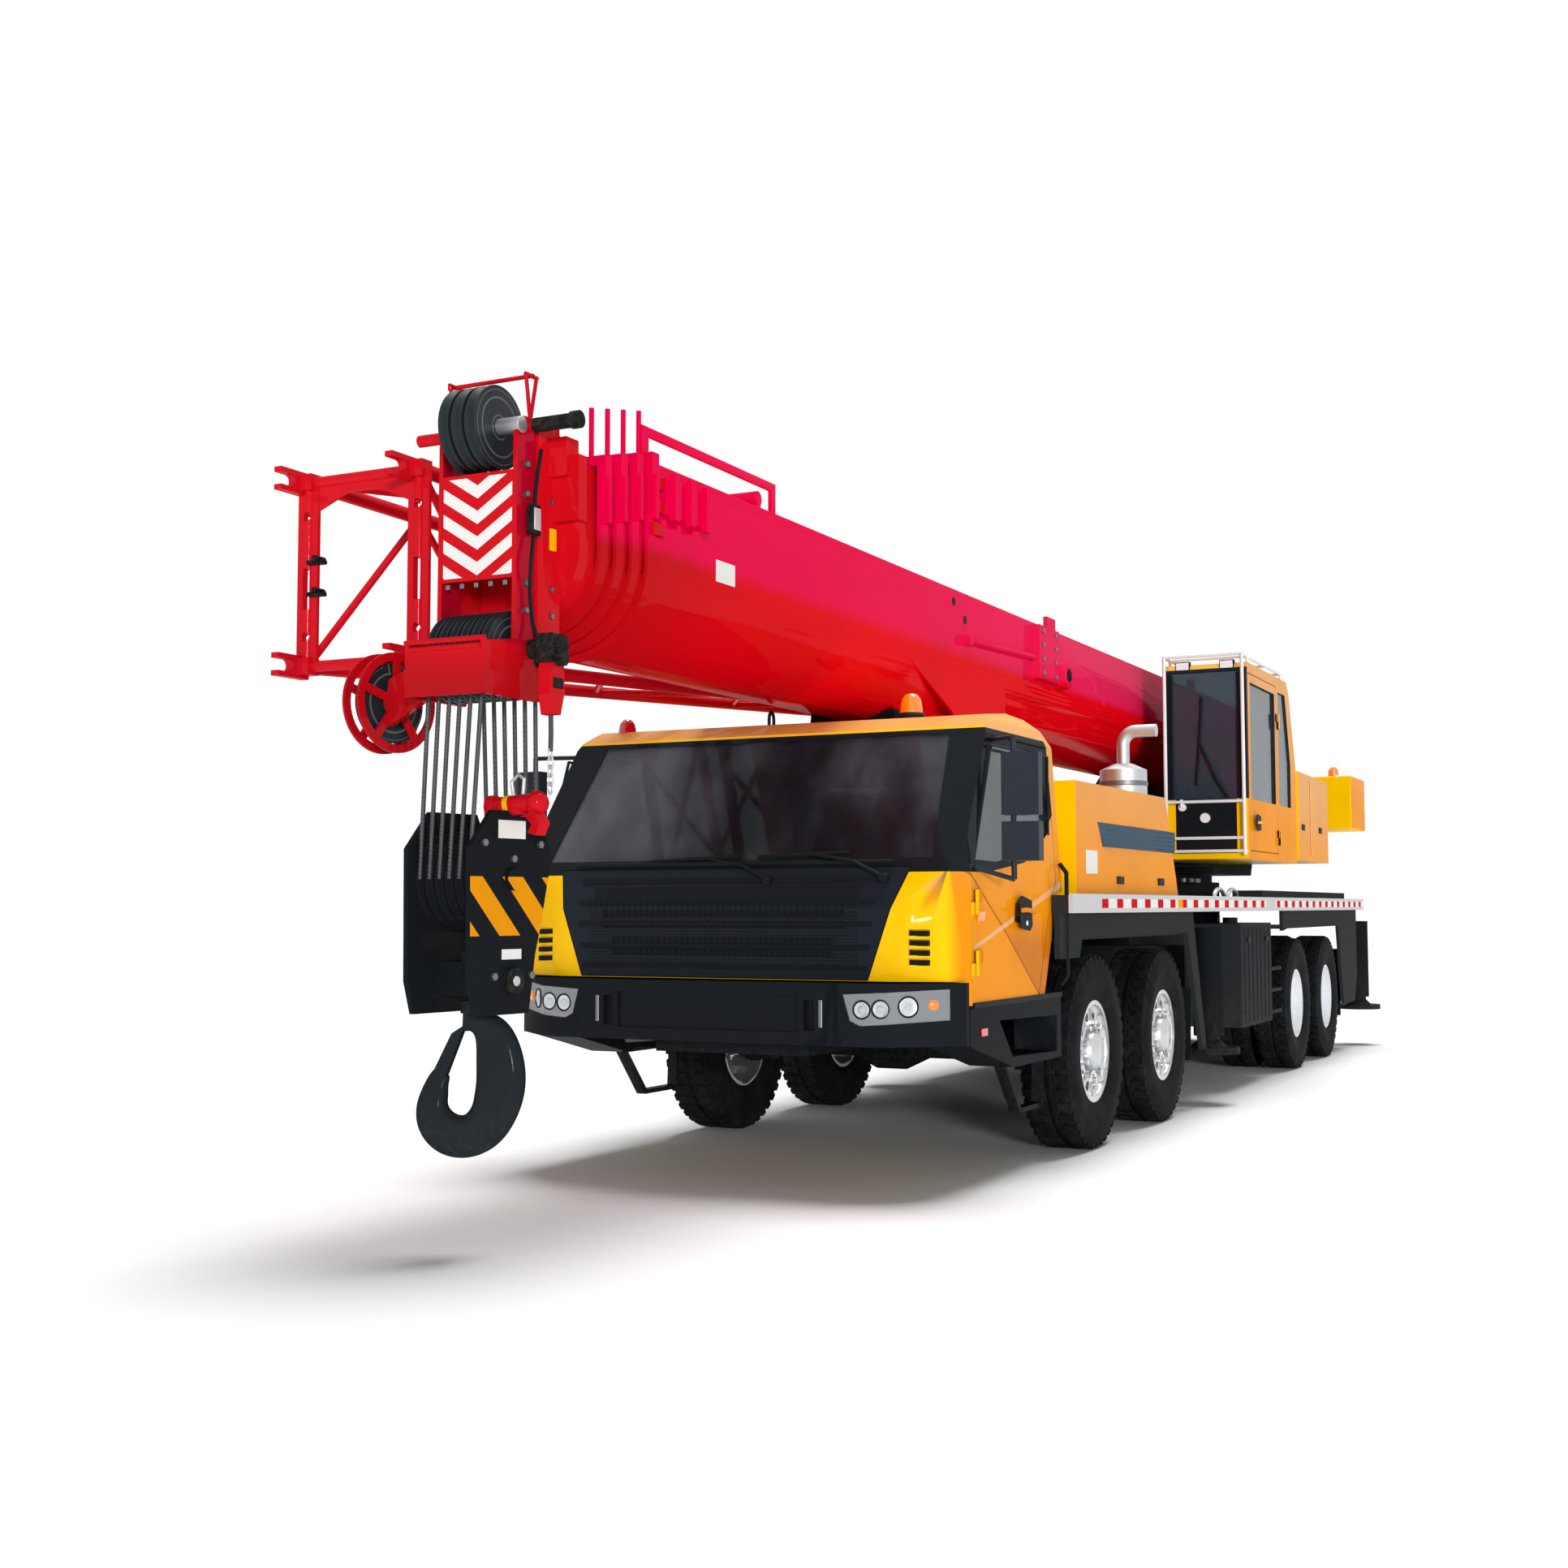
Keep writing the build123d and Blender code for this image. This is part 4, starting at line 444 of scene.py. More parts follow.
# nodes by finish; the longest of these names that a node's name starts with counts
finishNodes = {
    "chassis": "chassis_frame axles engine turntable_frame winches knuckle beam", "deck": "deck",
    "bumper": "front_bumper", "clear": "headlamps", "grille": "front_grille", "cab": "carrier_cab cab_door",
    "screen": "cab_glass", "seat": "cab_interior", "cover": "engine_hood side_covers", "silver": "exhaust",
    "grey": "side_boxes", "counterweight": "counterweight", "operator": "operator_cab operator_door",
    "glass": "operator_glass operator_door_glass door_glass", "white": "operator_guard",
    "boom": "boom_base boom_section", "head": "boom_head", "sheave": "head_sheaves", "jib": "jib",
    "red": "lift_barrel", "chrome": "lift_rod", "block": "hook_block", "rope": "rope_falls", "hook": "hook",
    "rubber": "wheel", "jack": "jack", "mirror": "mirror"}
finishOf = {start: kind for kind, starts in finishNodes.items() for start in starts.split()}


def kindOf(node):
    return finishOf[max((start for start in finishOf if node.startswith(start)), key=len)]


for nodeName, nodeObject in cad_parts.items():
    nodeObject.data.materials.clear()
    nodeObject.data.materials.append(finishes[kindOf(nodeName)])
print("finishes on", len(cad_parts), "nodes")


# pieces
class Piece:  # simple closed forms put together in one mesh, each with its own finish
    def __init__(self, name, body, slot, kind):
        self.name, self.body, self.slotName = name, body, slot
        self.kinds, self.now, self.turn = [kind], 0, Matrix.Identity(4)
        self.form = bmesh.new()

    def use(self, kind):
        if kind not in self.kinds:
            self.kinds.append(kind)
        self.now = self.kinds.index(kind)
        return self

    def face(self, corners):
        made = self.form.faces.new(corners)
        made.material_index = self.now

    def skin(self, rings, closed=False):
        rows = [[self.form.verts.new(self.turn @ Vector(point)) for point in ring] for ring in rings]
        count = len(rows[0])
        for first, second in list(zip(rows, rows[1:])) + ([(rows[-1], rows[0])] if closed else []):
            for i in range(count):
                j = (i + 1) % count
                self.face((first[i], first[j], second[j], second[i]))
        if not closed:
            self.face(rows[0][::-1])
            self.face(rows[-1])
        return self

    def box(self, x0, x1, y0, y1, z0, z1):
        return self.skin([[(x0, y0, z), (x1, y0, z), (x1, y1, z), (x0, y1, z)] for z in (z0, z1)])

    def slab(self, outline, low, high, axis=0):  # outline in the other two axes, in order
        rings = [[point[:axis] + (level,) + point[axis:] for point in outline] for level in (low, high)]
        return self.skin(rings)

    def lathe(self, profile, centre, along, sides=24, closed=False):  # profile of (radius, height)
        basis = Vector(along).to_track_quat("Z", "Y").to_matrix()
        steps = [math.tau * k / sides for k in range(sides)]
        rings = [[Vector(centre) + basis @ Vector((r * math.cos(t), r * math.sin(t), h)) for t in steps]
                 for r, h in profile]
        return self.skin(rings, closed)

    def rod(self, start, end, radius, sides=14, endRadius=None):
        run = Vector(end) - Vector(start)
        last = radius if endRadius is None else endRadius
        return self.lathe([(radius, 0), (last, run.length)], start, run, sides)

    def pin(self, x0, x1, y, z, radius, sides=14, endRadius=None):  # a rod across the machine
        return self.rod((x0, y, z), (x1, y, z), radius, sides, endRadius)

    def tube(self, points, radius, sides=10):  # a bent rod through the points
        path = [Vector(point) for point in points]
        runs = [(b - a).normalized() for a, b in zip(path, path[1:])]
        basis = runs[0].to_track_quat("Z", "Y")
        turns = [math.tau * k / sides for k in range(sides)]
        spokes = [Vector((radius * math.cos(t), radius * math.sin(t), 0)) for t in turns]
        rings = []
        for i, point in enumerate(path):
            ahead = (runs[max(i - 1, 0)] + runs[min(i, len(runs) - 1)]).normalized()
            basis = (basis @ Vector((0, 0, 1))).rotation_difference(ahead) @ basis
            rings.append([point + basis @ spoke for spoke in spokes])
        return self.skin(rings)

    def ball(self, centre, radius, along=(0, 0, 1), half=False, sides=16):
        low = 0 if half else -78
        turns = [math.radians(low + (78 - low) * k / 6) for k in range(7)]
        return self.lathe([(radius * math.cos(t), radius * math.sin(t)) for t in turns], centre, along, sides)

    def take(self, mesh):  # a grown or copied mesh
        first = len(self.form.faces)
        self.form.from_mesh(mesh)
        self.form.faces.ensure_lookup_table()
        for i in range(first, len(self.form.faces)):
            self.form.faces[i].material_index = self.now
        bpy.data.meshes.remove(mesh)
        return self

    def grow(self, tree, **values):  # what a tree makes, in the finish now in use
        return self.take(tree.mesh(self.kinds[self.now], **values))

    def done(self, bevel=0.003, sharp=34, stands=()):
        bmesh.ops.remove_doubles(self.form, verts=self.form.verts[:], dist=0.00002)
        bmesh.ops.recalc_face_normals(self.form, faces=self.form.faces[:])
        mesh = bpy.data.meshes.new(self.name)
        self.form.to_mesh(mesh)
        self.form.free()
        for kind in self.kinds:
            mesh.materials.append(finishes[kind])
        mesh.polygons.foreach_set("use_smooth", [True] * len(mesh.polygons))
        mesh.set_sharp_from_angle(angle=math.radians(sharp))
        thing = placed(self.name, mesh)
        if bevel:
            edge = thing.modifiers.new("edges", "BEVEL")
            edge.width, edge.segments, edge.limit_method = bevel, 2, "ANGLE"
            edge.angle_limit = math.radians(40)
        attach(thing, self.body)
        if stands:
            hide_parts(*stands)
        return thing


def mergedCopy(node, keep=None):  # a node's own mesh, joined up, as a fresh mesh
    form = bmesh.new()
    form.from_mesh(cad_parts[node].data)
    bmesh.ops.remove_doubles(form, verts=form.verts[:], dist=0.00005)
    if keep:
        gone = [face for face in form.faces if not all(keep(vert.co) for vert in face.verts)]
        bmesh.ops.delete(form, geom=gone, context="FACES")
    bmesh.ops.dissolve_limit(form, angle_limit=math.radians(0.6), verts=form.verts[:], edges=form.edges[:])
    mesh = bpy.data.meshes.new(node + "Copy")
    form.to_mesh(mesh)
    form.free()
    return mesh


class Growth(Nodes):  # a Geometry Nodes tree; a socket fed with a string takes the input of that name
    kinds = {int: "NodeSocketInt", float: "NodeSocketFloat", tuple: "NodeSocketVector"}

    def __init__(self, name, **inputs):
        super().__init__(bpy.data.node_groups.new(name, "GeometryNodeTree"))
        self.tree.is_modifier = True
        self.keys = {}
        for key, value in dict(inputs, Finish=None).items():
            kind = self.kinds.get(type(value), "NodeSocketMaterial")
            socket = self.tree.interface.new_socket(name=key, in_out="INPUT", socket_type=kind)
            if value is not None:
                socket.default_value = value
            self.keys[key] = socket.identifier
        self.tree.interface.new_socket(name="Geometry", in_out="OUTPUT", socket_type="NodeSocketGeometry")
        self.entry = self.add("NodeGroupInput").socket.node

    def feed(self, socket, value):
        super().feed(socket, Value(self, self.entry.outputs[value]) if isinstance(value, str) else value)

    def close(self, geometry):
        real = self.add("GeometryNodeRealizeInstances", {}, {"Geometry": geometry})
        last = self.add("GeometryNodeSetMaterial", {}, {"Geometry": real, "Material": "Finish"})
        self.add("NodeGroupOutput", {}, {0: last})
        return self

    def mesh(self, finish, **values):
        thing = placed("growing", bpy.data.meshes.new("growing"))
        maker = thing.modifiers.new("maker", "NODES")
        maker.node_group = self.tree
        for key, value in dict(values, Finish=finishes[finish]).items():
            maker[self.keys[key]] = value
        bpy.context.view_layer.update()
        ready = thing.evaluated_get(bpy.context.evaluated_depsgraph_get())
        mesh = bpy.data.meshes.new_from_object(ready)
        thing.modifiers.clear()
        bpy.data.objects.remove(thing)
        return mesh


def ringTree(name, nut):  # blocks or nuts round a circle; Turn stands the circle up
    growth = Growth(name, Count=10, Radius=0.17, Size=(0.02, 0.02, 0.02), Turn=(0, math.pi / 2, 0),
                    Place=(0, 0, 0))
    circle = growth.add("GeometryNodeMeshCircle", {}, {"Vertices": "Count", "Radius": "Radius"})
    if nut:
        unit = growth.add("GeometryNodeMeshCylinder", {}, {"Vertices": 6, "Radius": 1.0, "Depth": 1.0})
        block = growth.add("GeometryNodeTransform", {}, {"Geometry": unit, "Scale": "Size"})
    else:
        block = growth.add("GeometryNodeMeshCube", {}, {"Size": "Size"})
    spot = growth.add("GeometryNodeInputPosition")
    facing = growth.add("FunctionNodeAlignRotationToVector", {"axis": "X"}, {"Vector": spot})
    dotted = growth.add("GeometryNodeInstanceOnPoints", {}, {"Points": circle, "Instance": block,
                                                             "Rotation": facing})
    return growth.close(growth.add("GeometryNodeTransform", {}, {"Geometry": dotted, "Rotation": "Turn",
                                                                 "Translation": "Place"}))


def startLine(growth):
    sockets = {"Count": "Count", "Start Location": "Start", "Offset": "Step"}
    return growth.add("GeometryNodeMeshLine", {}, sockets)


def rowTree(name):  # blocks one after another
    growth = Growth(name, Count=5, Start=(0, 0, 0), Step=(0, 0, 0.1), Size=(0.02, 0.02, 0.02), Tilt=(0, 0, 0))
    block = growth.add("GeometryNodeMeshCube", {}, {"Size": "Size"})
    return growth.close(growth.add("GeometryNodeInstanceOnPoints", {}, {
        "Points": startLine(growth), "Instance": block, "Rotation": "Tilt"}))


def coilTree(name):  # turns of rope side by side along x
    growth = Growth(name, Count=20, Start=(0, 0, 0), Step=(0.02, 0, 0), Radius=0.16, Rope=0.01)
    turn = growth.add("GeometryNodeCurvePrimitiveCircle", {}, {"Resolution": 40, "Radius": "Radius"})
    strand = growth.add("GeometryNodeCurvePrimitiveCircle", {}, {"Resolution": 8, "Radius": "Rope"})
    hoop = growth.add("GeometryNodeCurveToMesh", {}, {"Curve": turn, "Profile Curve": strand})
    stood = growth.add("GeometryNodeTransform", {}, {"Geometry": hoop, "Rotation": (0, math.pi / 2, 0)})
    return growth.close(growth.add("GeometryNodeInstanceOnPoints", {}, {
        "Points": startLine(growth), "Instance": stood}))


nutRing, lugRing = ringTree("nutRing", True), ringTree("lugRing", False)
row, coil = rowTree("row"), coilTree("coil")
print("trees ready")


# wheels
wheel = {"axles": (-2.45, -0.98, 3.32, 4.67), "height": 0.55, "rimEdge": 0.2905, "lugs": 42, "base": 0.5385,
         "lugSize": (0.0215, 0.052, 0.058), "lugRows": (-0.55, 0.0, 0.55), "shoulder": (0.034, 0.046, 0.03),
         "shoulderBase": 0.5225, "shoulderRows": (-0.81, 0.81), "nuts": 10, "nutRing": 0.163,
         "nutSize": (0.017, 0.017, 0.034), "hubRadii": (0.062, 0.05)}
single = {"rim": "rim", "half": 0.15, "middles": (1.12,), "nutFace": 1.238, "hub": (1.258, 1.2795)}
twin = {"rim": "rimWhite", "half": 0.136, "middles": (1.134, 0.802), "nutFace": 1.003, "hub": (1.135, 1.16)}
sides = ((1, "left"), (-1, "right"))
# half of a tyre's outline: radius, and share of half the width
wall = ((0.287, 0.84), (0.3, 0.9), (0.326, 0.93), (0.35, 0.985), (0.38, 0.99), (0.384, 1.0),
        (0.44, 1.0), (0.444, 0.99), (0.47, 0.972), (0.473, 0.962), (0.505, 0.935), (0.522, 0.88),
        (0.534, 0.79))
tread = ((0.5385, 0.7), (0.5385, 0.46), (0.532, 0.44), (0.532, 0.4), (0.5385, 0.38), (0.5385, 0.04),
         (0.532, 0.03))


def makeTyre(piece, middle, half, y):
    side = wall + tread
    profile = [(r, -half * share) for r, share in side] + [(r, half * share) for r, share in side[::-1]]
    height = wheel["height"]
    piece.use("rubber").lathe(profile, (middle, y, height), (1, 0, 0), 72, closed=True)
    for k, offset in enumerate(wheel["lugRows"]):
        turn = (math.pi / wheel["lugs"] * (k % 2), math.pi / 2, 0)
        piece.grow(lugRing, Count=wheel["lugs"], Radius=wheel["base"], Size=wheel["lugSize"], Turn=turn,
                   Place=(middle + half * offset, y, height))
    for offset in wheel["shoulderRows"]:
        piece.grow(lugRing, Count=wheel["lugs"], Radius=wheel["shoulderBase"], Size=wheel["shoulder"],
                   Place=(middle + half * offset, y, height))


def rimOf(y):  # a test for what lies inside the rim's edge
    return lambda co: math.hypot(co.y - y, co.z - wheel["height"]) < wheel["rimEdge"]


def makeWheels():
    height = wheel["height"]
    for number, y in enumerate(wheel["axles"], 1):
        kind = single if number < 3 else twin
        for side, name in sides:
            node = "wheel_%d_%s" % (number, name)
            piece = Piece(node.replace("wheel", "wheelSet"), node, "tyre", "rubber")
            piece.use(kind["rim"]).take(mergedCopy(node, rimOf(y)))
            for middle in kind["middles"]:
                makeTyre(piece, side * middle, kind["half"], y)
            piece.use("nut").grow(nutRing, Count=wheel["nuts"], Radius=wheel["nutRing"],
                                  Size=wheel["nutSize"], Place=(side * kind["nutFace"], y, height))
            root, tip = kind["hub"]
            piece.pin(side * root, side * tip, y, height, wheel["hubRadii"][0], 24, wheel["hubRadii"][1])
            piece.done(0, 38, (node,))


makeWheels()
print("wheels made")


# bodywork with soft edges
# by slot: node, body and width of the bevel
softNodes = {
    "cab_yellow": (("carrier_cab", "carrier", 0.01), ("engine_hood", "carrier", 0.012),
                   ("side_covers", "turntable", 0.012), ("counterweight", "turntable", 0.014),
                   ("operator_cab", "turntable", 0.008), ("cab_door_left", "door_left", 0.004),
                   ("cab_door_right", "door_right", 0.004)),
    "chassis_black": (("front_bumper", "carrier", 0.005),),
    "boom_red": (("boom_base", "boom", 0.004), ("boom_head", "head", 0.004))}
for slotName, softRows in softNodes.items():
    for nodeName, bodyName, width in softRows:
        soft = Piece(nodeName + "Panels", bodyName, slotName, kindOf(nodeName))
        soft.take(mergedCopy(nodeName)).done(width, 34, (nodeName,))
print("panels softened")


# carrier cab details
cab = {"wipers": (((0.241, -4.566, 1.5), (0.1, -4.556, 1.575), (-0.116, -4.514, 1.61),
                   (-0.46, -4.51, 1.6), (0.06, -4.504, 1.622)),
                  ((0.868, -4.566, 1.51), (0.7, -4.556, 1.59), (0.481, -4.51, 1.625),
                   (0.16, -4.506, 1.618), (0.66, -4.5, 1.632))),
       "arm": 0.009, "blade": 0.012, "hub": 0.022, "eye": (-0.15, -3.75, 2.385), "eyeFoot": 2.33,
       "vents": (1.092, 1.138, 1.184, 1.23), "bars": (1.075, 1.175, 1.285, 1.395, 1.5),
       "grilleFoot": -4.616, "grilleKnee": 1.36, "grilleLean": 0.49, "barHalf": 0.8,
       "meshRows": ((1.095, 5), (1.2, 5), (1.31, 3), (1.42, 4)),
       "lamps": ((0.828, -4.742, 0.888, 0.04, 0.07, -1), (0.92, -4.734, 0.892, 0.04, 0.12, -1),
                 (1.03, -4.668, 0.902, 0.046, 0.66, -0.75)),
       "beacons": ((0.55, -3.45, 2.368, "amber", 1.0), (-1.0, -3.86, 2.29, "redLens", 0.82)),
       "beaconFoot": ((0.078, 0.035), (0.062, 0.05)),
       "beaconDome": ((0.062, 0.045), (0.06, 0.085), (0.052, 0.125), (0.034, 0.15), (0.012, 0.158))}


def arch(x, y, z, half, rise):  # nine points over a half turn, across x
    turns = [k / 8 * math.pi for k in range(9)]
    return [(x, y + half * math.cos(t), z + rise * math.sin(t)) for t in turns]


def grilleFace(z):  # how far forward the black front stands at a height
    return cab["grilleFoot"] + max(0.0, z - cab["grilleKnee"]) * cab["grilleLean"]


def makeCabTrim():
    trim = Piece("cabTrim", "carrier", "trim_black", "trim")
    for pivot, elbow, tip, bladeStart, bladeEnd in cab["wipers"]:
        trim.rod((pivot[0], -4.5, pivot[2] + 0.01), (pivot[0], -4.585, pivot[2] - 0.005), cab["hub"])
        trim.tube((pivot, elbow, tip), cab["arm"])
        trim.tube((bladeStart, bladeEnd), cab["blade"], 6)
    trim.tube(((-0.9, -4.528, 1.585), (0.9, -4.528, 1.585)), 0.012, 8)  # screen seal, lower edge
    x, y, z = cab["eye"]
    half, foot = 0.028, cab["eyeFoot"]
    trim.tube([(x, y + half, foot)] + arch(x, y, z, half, 0.045) + [(x, y - half, foot)], cab["arm"])
    for side in (1, -1):
        trim.box(side * 1.1, side * 1.262, -4.4, -3.08, 0.885, 0.912)  # lower door sill
        for low in cab["vents"]:  # dark vents in the yellow corners
            trim.box(side * 1.0, side * 1.098, -4.579, -4.555, low, low + 0.026)
    for z in cab["bars"]:  # long grille bars
        front = grilleFace(z)
        half = cab["barHalf"] + (z - 1.07) * 0.1
        trim.slab([(front - 0.016, z - 0.01), (front - 0.004, z + 0.014), (front + 0.03, z + 0.014),
                   (front + 0.03, z - 0.01)], -half, half)
    trim.done(0.002)
    mesh = Piece("grilleMesh", "carrier", "trim_black", "trim")
    for start, count in cab["meshRows"]:
        lean = 0.007 if start > cab["grilleKnee"] else 0
        mesh.grow(row, Count=count, Start=(0, grilleFace(start), start), Step=(0, lean, 0.016),
                  Size=(1.5, 0.01, 0.006))
    mesh.grow(row, Count=46, Start=(-0.765, -4.61, 1.235), Step=(0.034, 0, 0), Size=(0.006, 0.01, 0.33))
    mesh.done(0)


def makeCabLamps():
    lamps = Piece("frontLamps", "carrier", "lamp_glass", "chrome")
    for side in (1, -1):
        for x, y, z, radius, outward, ahead in cab["lamps"]:
            place, along = (side * x, y, z), (side * outward, ahead, 0)
            bezel = [(radius, -0.004), (radius + 0.006, 0.006), (radius + 0.004, 0.01),
                     (radius - 0.004, 0.004)]
            bowl = [(radius - 0.002, -0.004), (radius - 0.003, 0.005), (0.024, 0.001), (0.018, 0.002)]
            lamps.use("trim").lathe(bezel, place, along, 28, closed=True)
            lamps.use("chrome").lathe(bowl, place, along, 28)
            lamps.use("clear").ball(place, 0.021, along, True, 20)
        lamps.use("amber").lathe([(0.026, -0.006), (0.026, 0.006), (0.016, 0.012)],
                                 (side * 1.125, -4.588, 0.91), (side * 0.66, -0.75, 0), 20)
        lamps.use("redLens").box(side * 1.249, side * 1.257, -4.295, -4.215, 0.748, 0.784)
        lamps.use("amber").slab([(-4.36, 1.3), (-4.33, 1.345), (-4.24, 1.345), (-4.26, 1.3)],
                                side * 1.249, side * 1.262)
    lamps.done(0.001, 50)
    roof = Piece("roofBeacons", "carrier", "lamp_glass", "amber")
    for x, y, z, lens, scale in cab["beacons"]:
        foot = [(r * scale, h * scale) for r, h in cab["beaconFoot"]]
        foot = [(foot[0][0], -0.02)] + foot
        dome = [(r * scale, h * scale) for r, h in cab["beaconDome"]]
        roof.use("trim").lathe(foot, (x, y, z), (0, 0, 1), 28)
        roof.use(lens).lathe(dome, (x, y, z), (0, 0, 1), 28)
    roof.done(0.001, 50)


doorFit = {"face": 1.2795, "grip": 1.3075, "gripFoot": 1.2775, "seal": 1.2315, "mirrorDepth": 0.035,
           "mirrors": ((1.605, 1.765, -4.107), (1.828, 2.098, -4.117))}


def makeDoorParts():
    for side, name in sides:
        face, grip, foot, seal = [side * doorFit[key] for key in ("face", "grip", "gripFoot", "seal")]
        door = Piece("doorFittings_" + name, "door_" + name, "trim_black", "trim")
        door.slab([(-3.8, 1.395), (-3.76, 1.425), (-3.61, 1.4), (-3.6, 1.27), (-3.64, 1.245),
                   (-3.785, 1.262)], side * 1.272, face)
        # the grip has the cab's side orange, painted shade
        door.use("cabSide").tube([(foot, -3.775, 1.35), (grip, -3.765, 1.352), (grip, -3.635, 1.345),
                                  (foot, -3.622, 1.343)], 0.012)
        door.use("chrome").pin(face, face + side * 0.006, -3.7, 1.285, 0.014)
        door.use("trim").tube([(seal, -4.325, 1.6), (seal, -4.1, 2.17), (seal, -3.205, 2.17),
                               (seal, -3.205, 1.75)], 0.01, 6)  # window seal
        door.done(0.002)
        mirrors = Piece("mirrorFaces_" + name, "door_" + name, "glass", "mirrorGlass")
        for z0, z1, y in doorFit["mirrors"]:
            mirrors.slab([(side * 1.368, z0), (side * 1.492, z0), (side * 1.494, z1), (side * 1.37, z1)],
                         y - doorFit["mirrorDepth"], y, 1)
        mirrors.done(0.001)


makeCabTrim()
makeCabLamps()
makeDoorParts()
print("cab dressed")


# carrier details
chassis = {"rail": 1.262, "railOut": 1.3, "railY": -3.1, "flaps": (5.32, -0.35), "tail": 6.54,
           "bandY": (1.32, 1.95), "slewBolts": 36, "slewRadius": 0.67}


def makeChassisParts():
    loops = Piece("deckLoops", "carrier", "silver", "silver")
    for side in (1, -1):
        for middle in (0.8, 1.22):
            loops.use("silver").tube(arch(side * 1.2, middle, 1.43, 0.15, 0.065), 0.016)
        inner, outer, y = side * chassis["rail"], side * chassis["railOut"], chassis["railY"]
        loops.use("trim").tube([(inner, y, 0.95), (outer, y, 1.0), (outer, y, 1.55), (inner, y, 1.6)], 0.012)
    loops.done(0)
    flaps = Piece("mudFlaps", "carrier", "trim_black", "rubberFlat")
    for side in (1, -1):
        for y in chassis["flaps"]:
            flaps.slab([(side * 0.98, 0.34), (side * 1.26, 0.34), (side * 1.27, 0.82), (side * 0.97, 0.82)],
                       y, y + 0.012, 1)
    flaps.done(0.002)
    tail = Piece("tailLamps", "carrier", "lamp_glass", "trim")
    back = chassis["tail"]
    for side in (1, -1):
        tail.use("trim").box(side * 0.46, side * 0.9, back, back + 0.035, 0.86, 0.98)
        for k, kind in enumerate(("redLens", "amber", "redLens")):
            tail.use(kind).lathe([(0.046, 0), (0.046, 0.01), (0.03, 0.018)],
                                 (side * (0.54 + 0.14 * k), back + 0.035, 0.92), (0, 1, 0), 24)
    tail.use("plate").box(-0.26, 0.26, back, back + 0.008, 0.86, 0.98)
    tail.done(0.002)
    hitch = Piece("frontPin", "carrier", "chassis_black", "bolt")
    for x in (-0.62, 0.62):
        hitch.rod((x, -4.745, 0.8), (x, -4.745, 0.93), 0.018)
    hitch.done(0.001)
    tank = Piece("tankFittings", "carrier", "frame_grey", "silver")
    tank.use("trim")
    for side in (1, -1):
        tank.rod((side * 1.15, 1.35, 1.24), (side * 1.15, 1.35, 1.285), 0.055, 24)
        for y in chassis["bandY"]:
            tank.box(side * 1.2795, side * 1.292, y, y + 0.09, 1.1, 1.135)
    tank.done(0.002)
    bolts = Piece("carrierBolts", "carrier", "frame_grey", "bolt")
    bolts.grow(nutRing, Count=chassis["slewBolts"], Radius=chassis["slewRadius"], Size=(0.02, 0.02, 0.03),
               Turn=(0, 0, 0), Place=(0, 2.25, 1.58))
    bolts.done(0)


hood = {"side": 1.3005, "louvreStart": (-1.62, 1.728), "louvres": 5, "latches": (-2.15, -1.25),
        "bands": (1.56, 1.86, 2.14), "silencer": (1.11, -1.325), "bandRadii": (0.1465, 0.152)}


def makeHoodParts():
    fittings = Piece("hoodFittings", "carrier", "cab_yellow", "hatch")
    for side in (1, -1):
        outer = side * hood["side"]
        inner, proud = outer - side * 0.004, outer + side * 0.004
        fittings.use("hatch").slab([(-2.523, 1.847), (-0.829, 1.847), (-0.829, 1.735), (-0.86, 1.711),
                                    (-2.4, 1.711)], outer - side * 0.012, proud)
        fittings.grow(row, Count=hood["louvres"], Start=(proud,) + hood["louvreStart"], Step=(0, 0, 0.026),
                      Size=(0.006, 1.52, 0.007))
        fittings.use("plate").box(inner, outer + side * 0.003, -2.745, -2.537, 1.552, 1.684)
        fittings.use("trim")
        for y in hood["latches"]:
            fittings.box(inner, outer + side * 0.008, y, y + 0.13, 1.5, 1.545)
    fittings.use("yellow").rod((0.7, -2.3, 2.05), (0.7, -2.3, 2.19), 0.045, 20)
    fittings.use("cover").box(0.8, 0.92, -2.36, -2.24, 2.05, 2.13)
    fittings.done(0.003)
    bands = Piece("silencerBands", "carrier", "silver", "bolt")
    low, high = hood["bandRadii"]
    for z in hood["bands"]:
        bands.lathe([(low, -0.016), (high, -0.012), (high, 0.012), (low, 0.016)], hood["silencer"] + (z,),
                    (0, 0, 1), 40)
    bands.done(0.001)


makeChassisParts()
makeHoodParts()
print("carrier dressed")


# upper works
operator = {"front": 1.402, "lamps": ((0.965, 2.045, 0.038), (0.79, 2.13, 0.03)), "workLamps": (0.8, 1.14),
            "seals": (0.715, 1.225)}


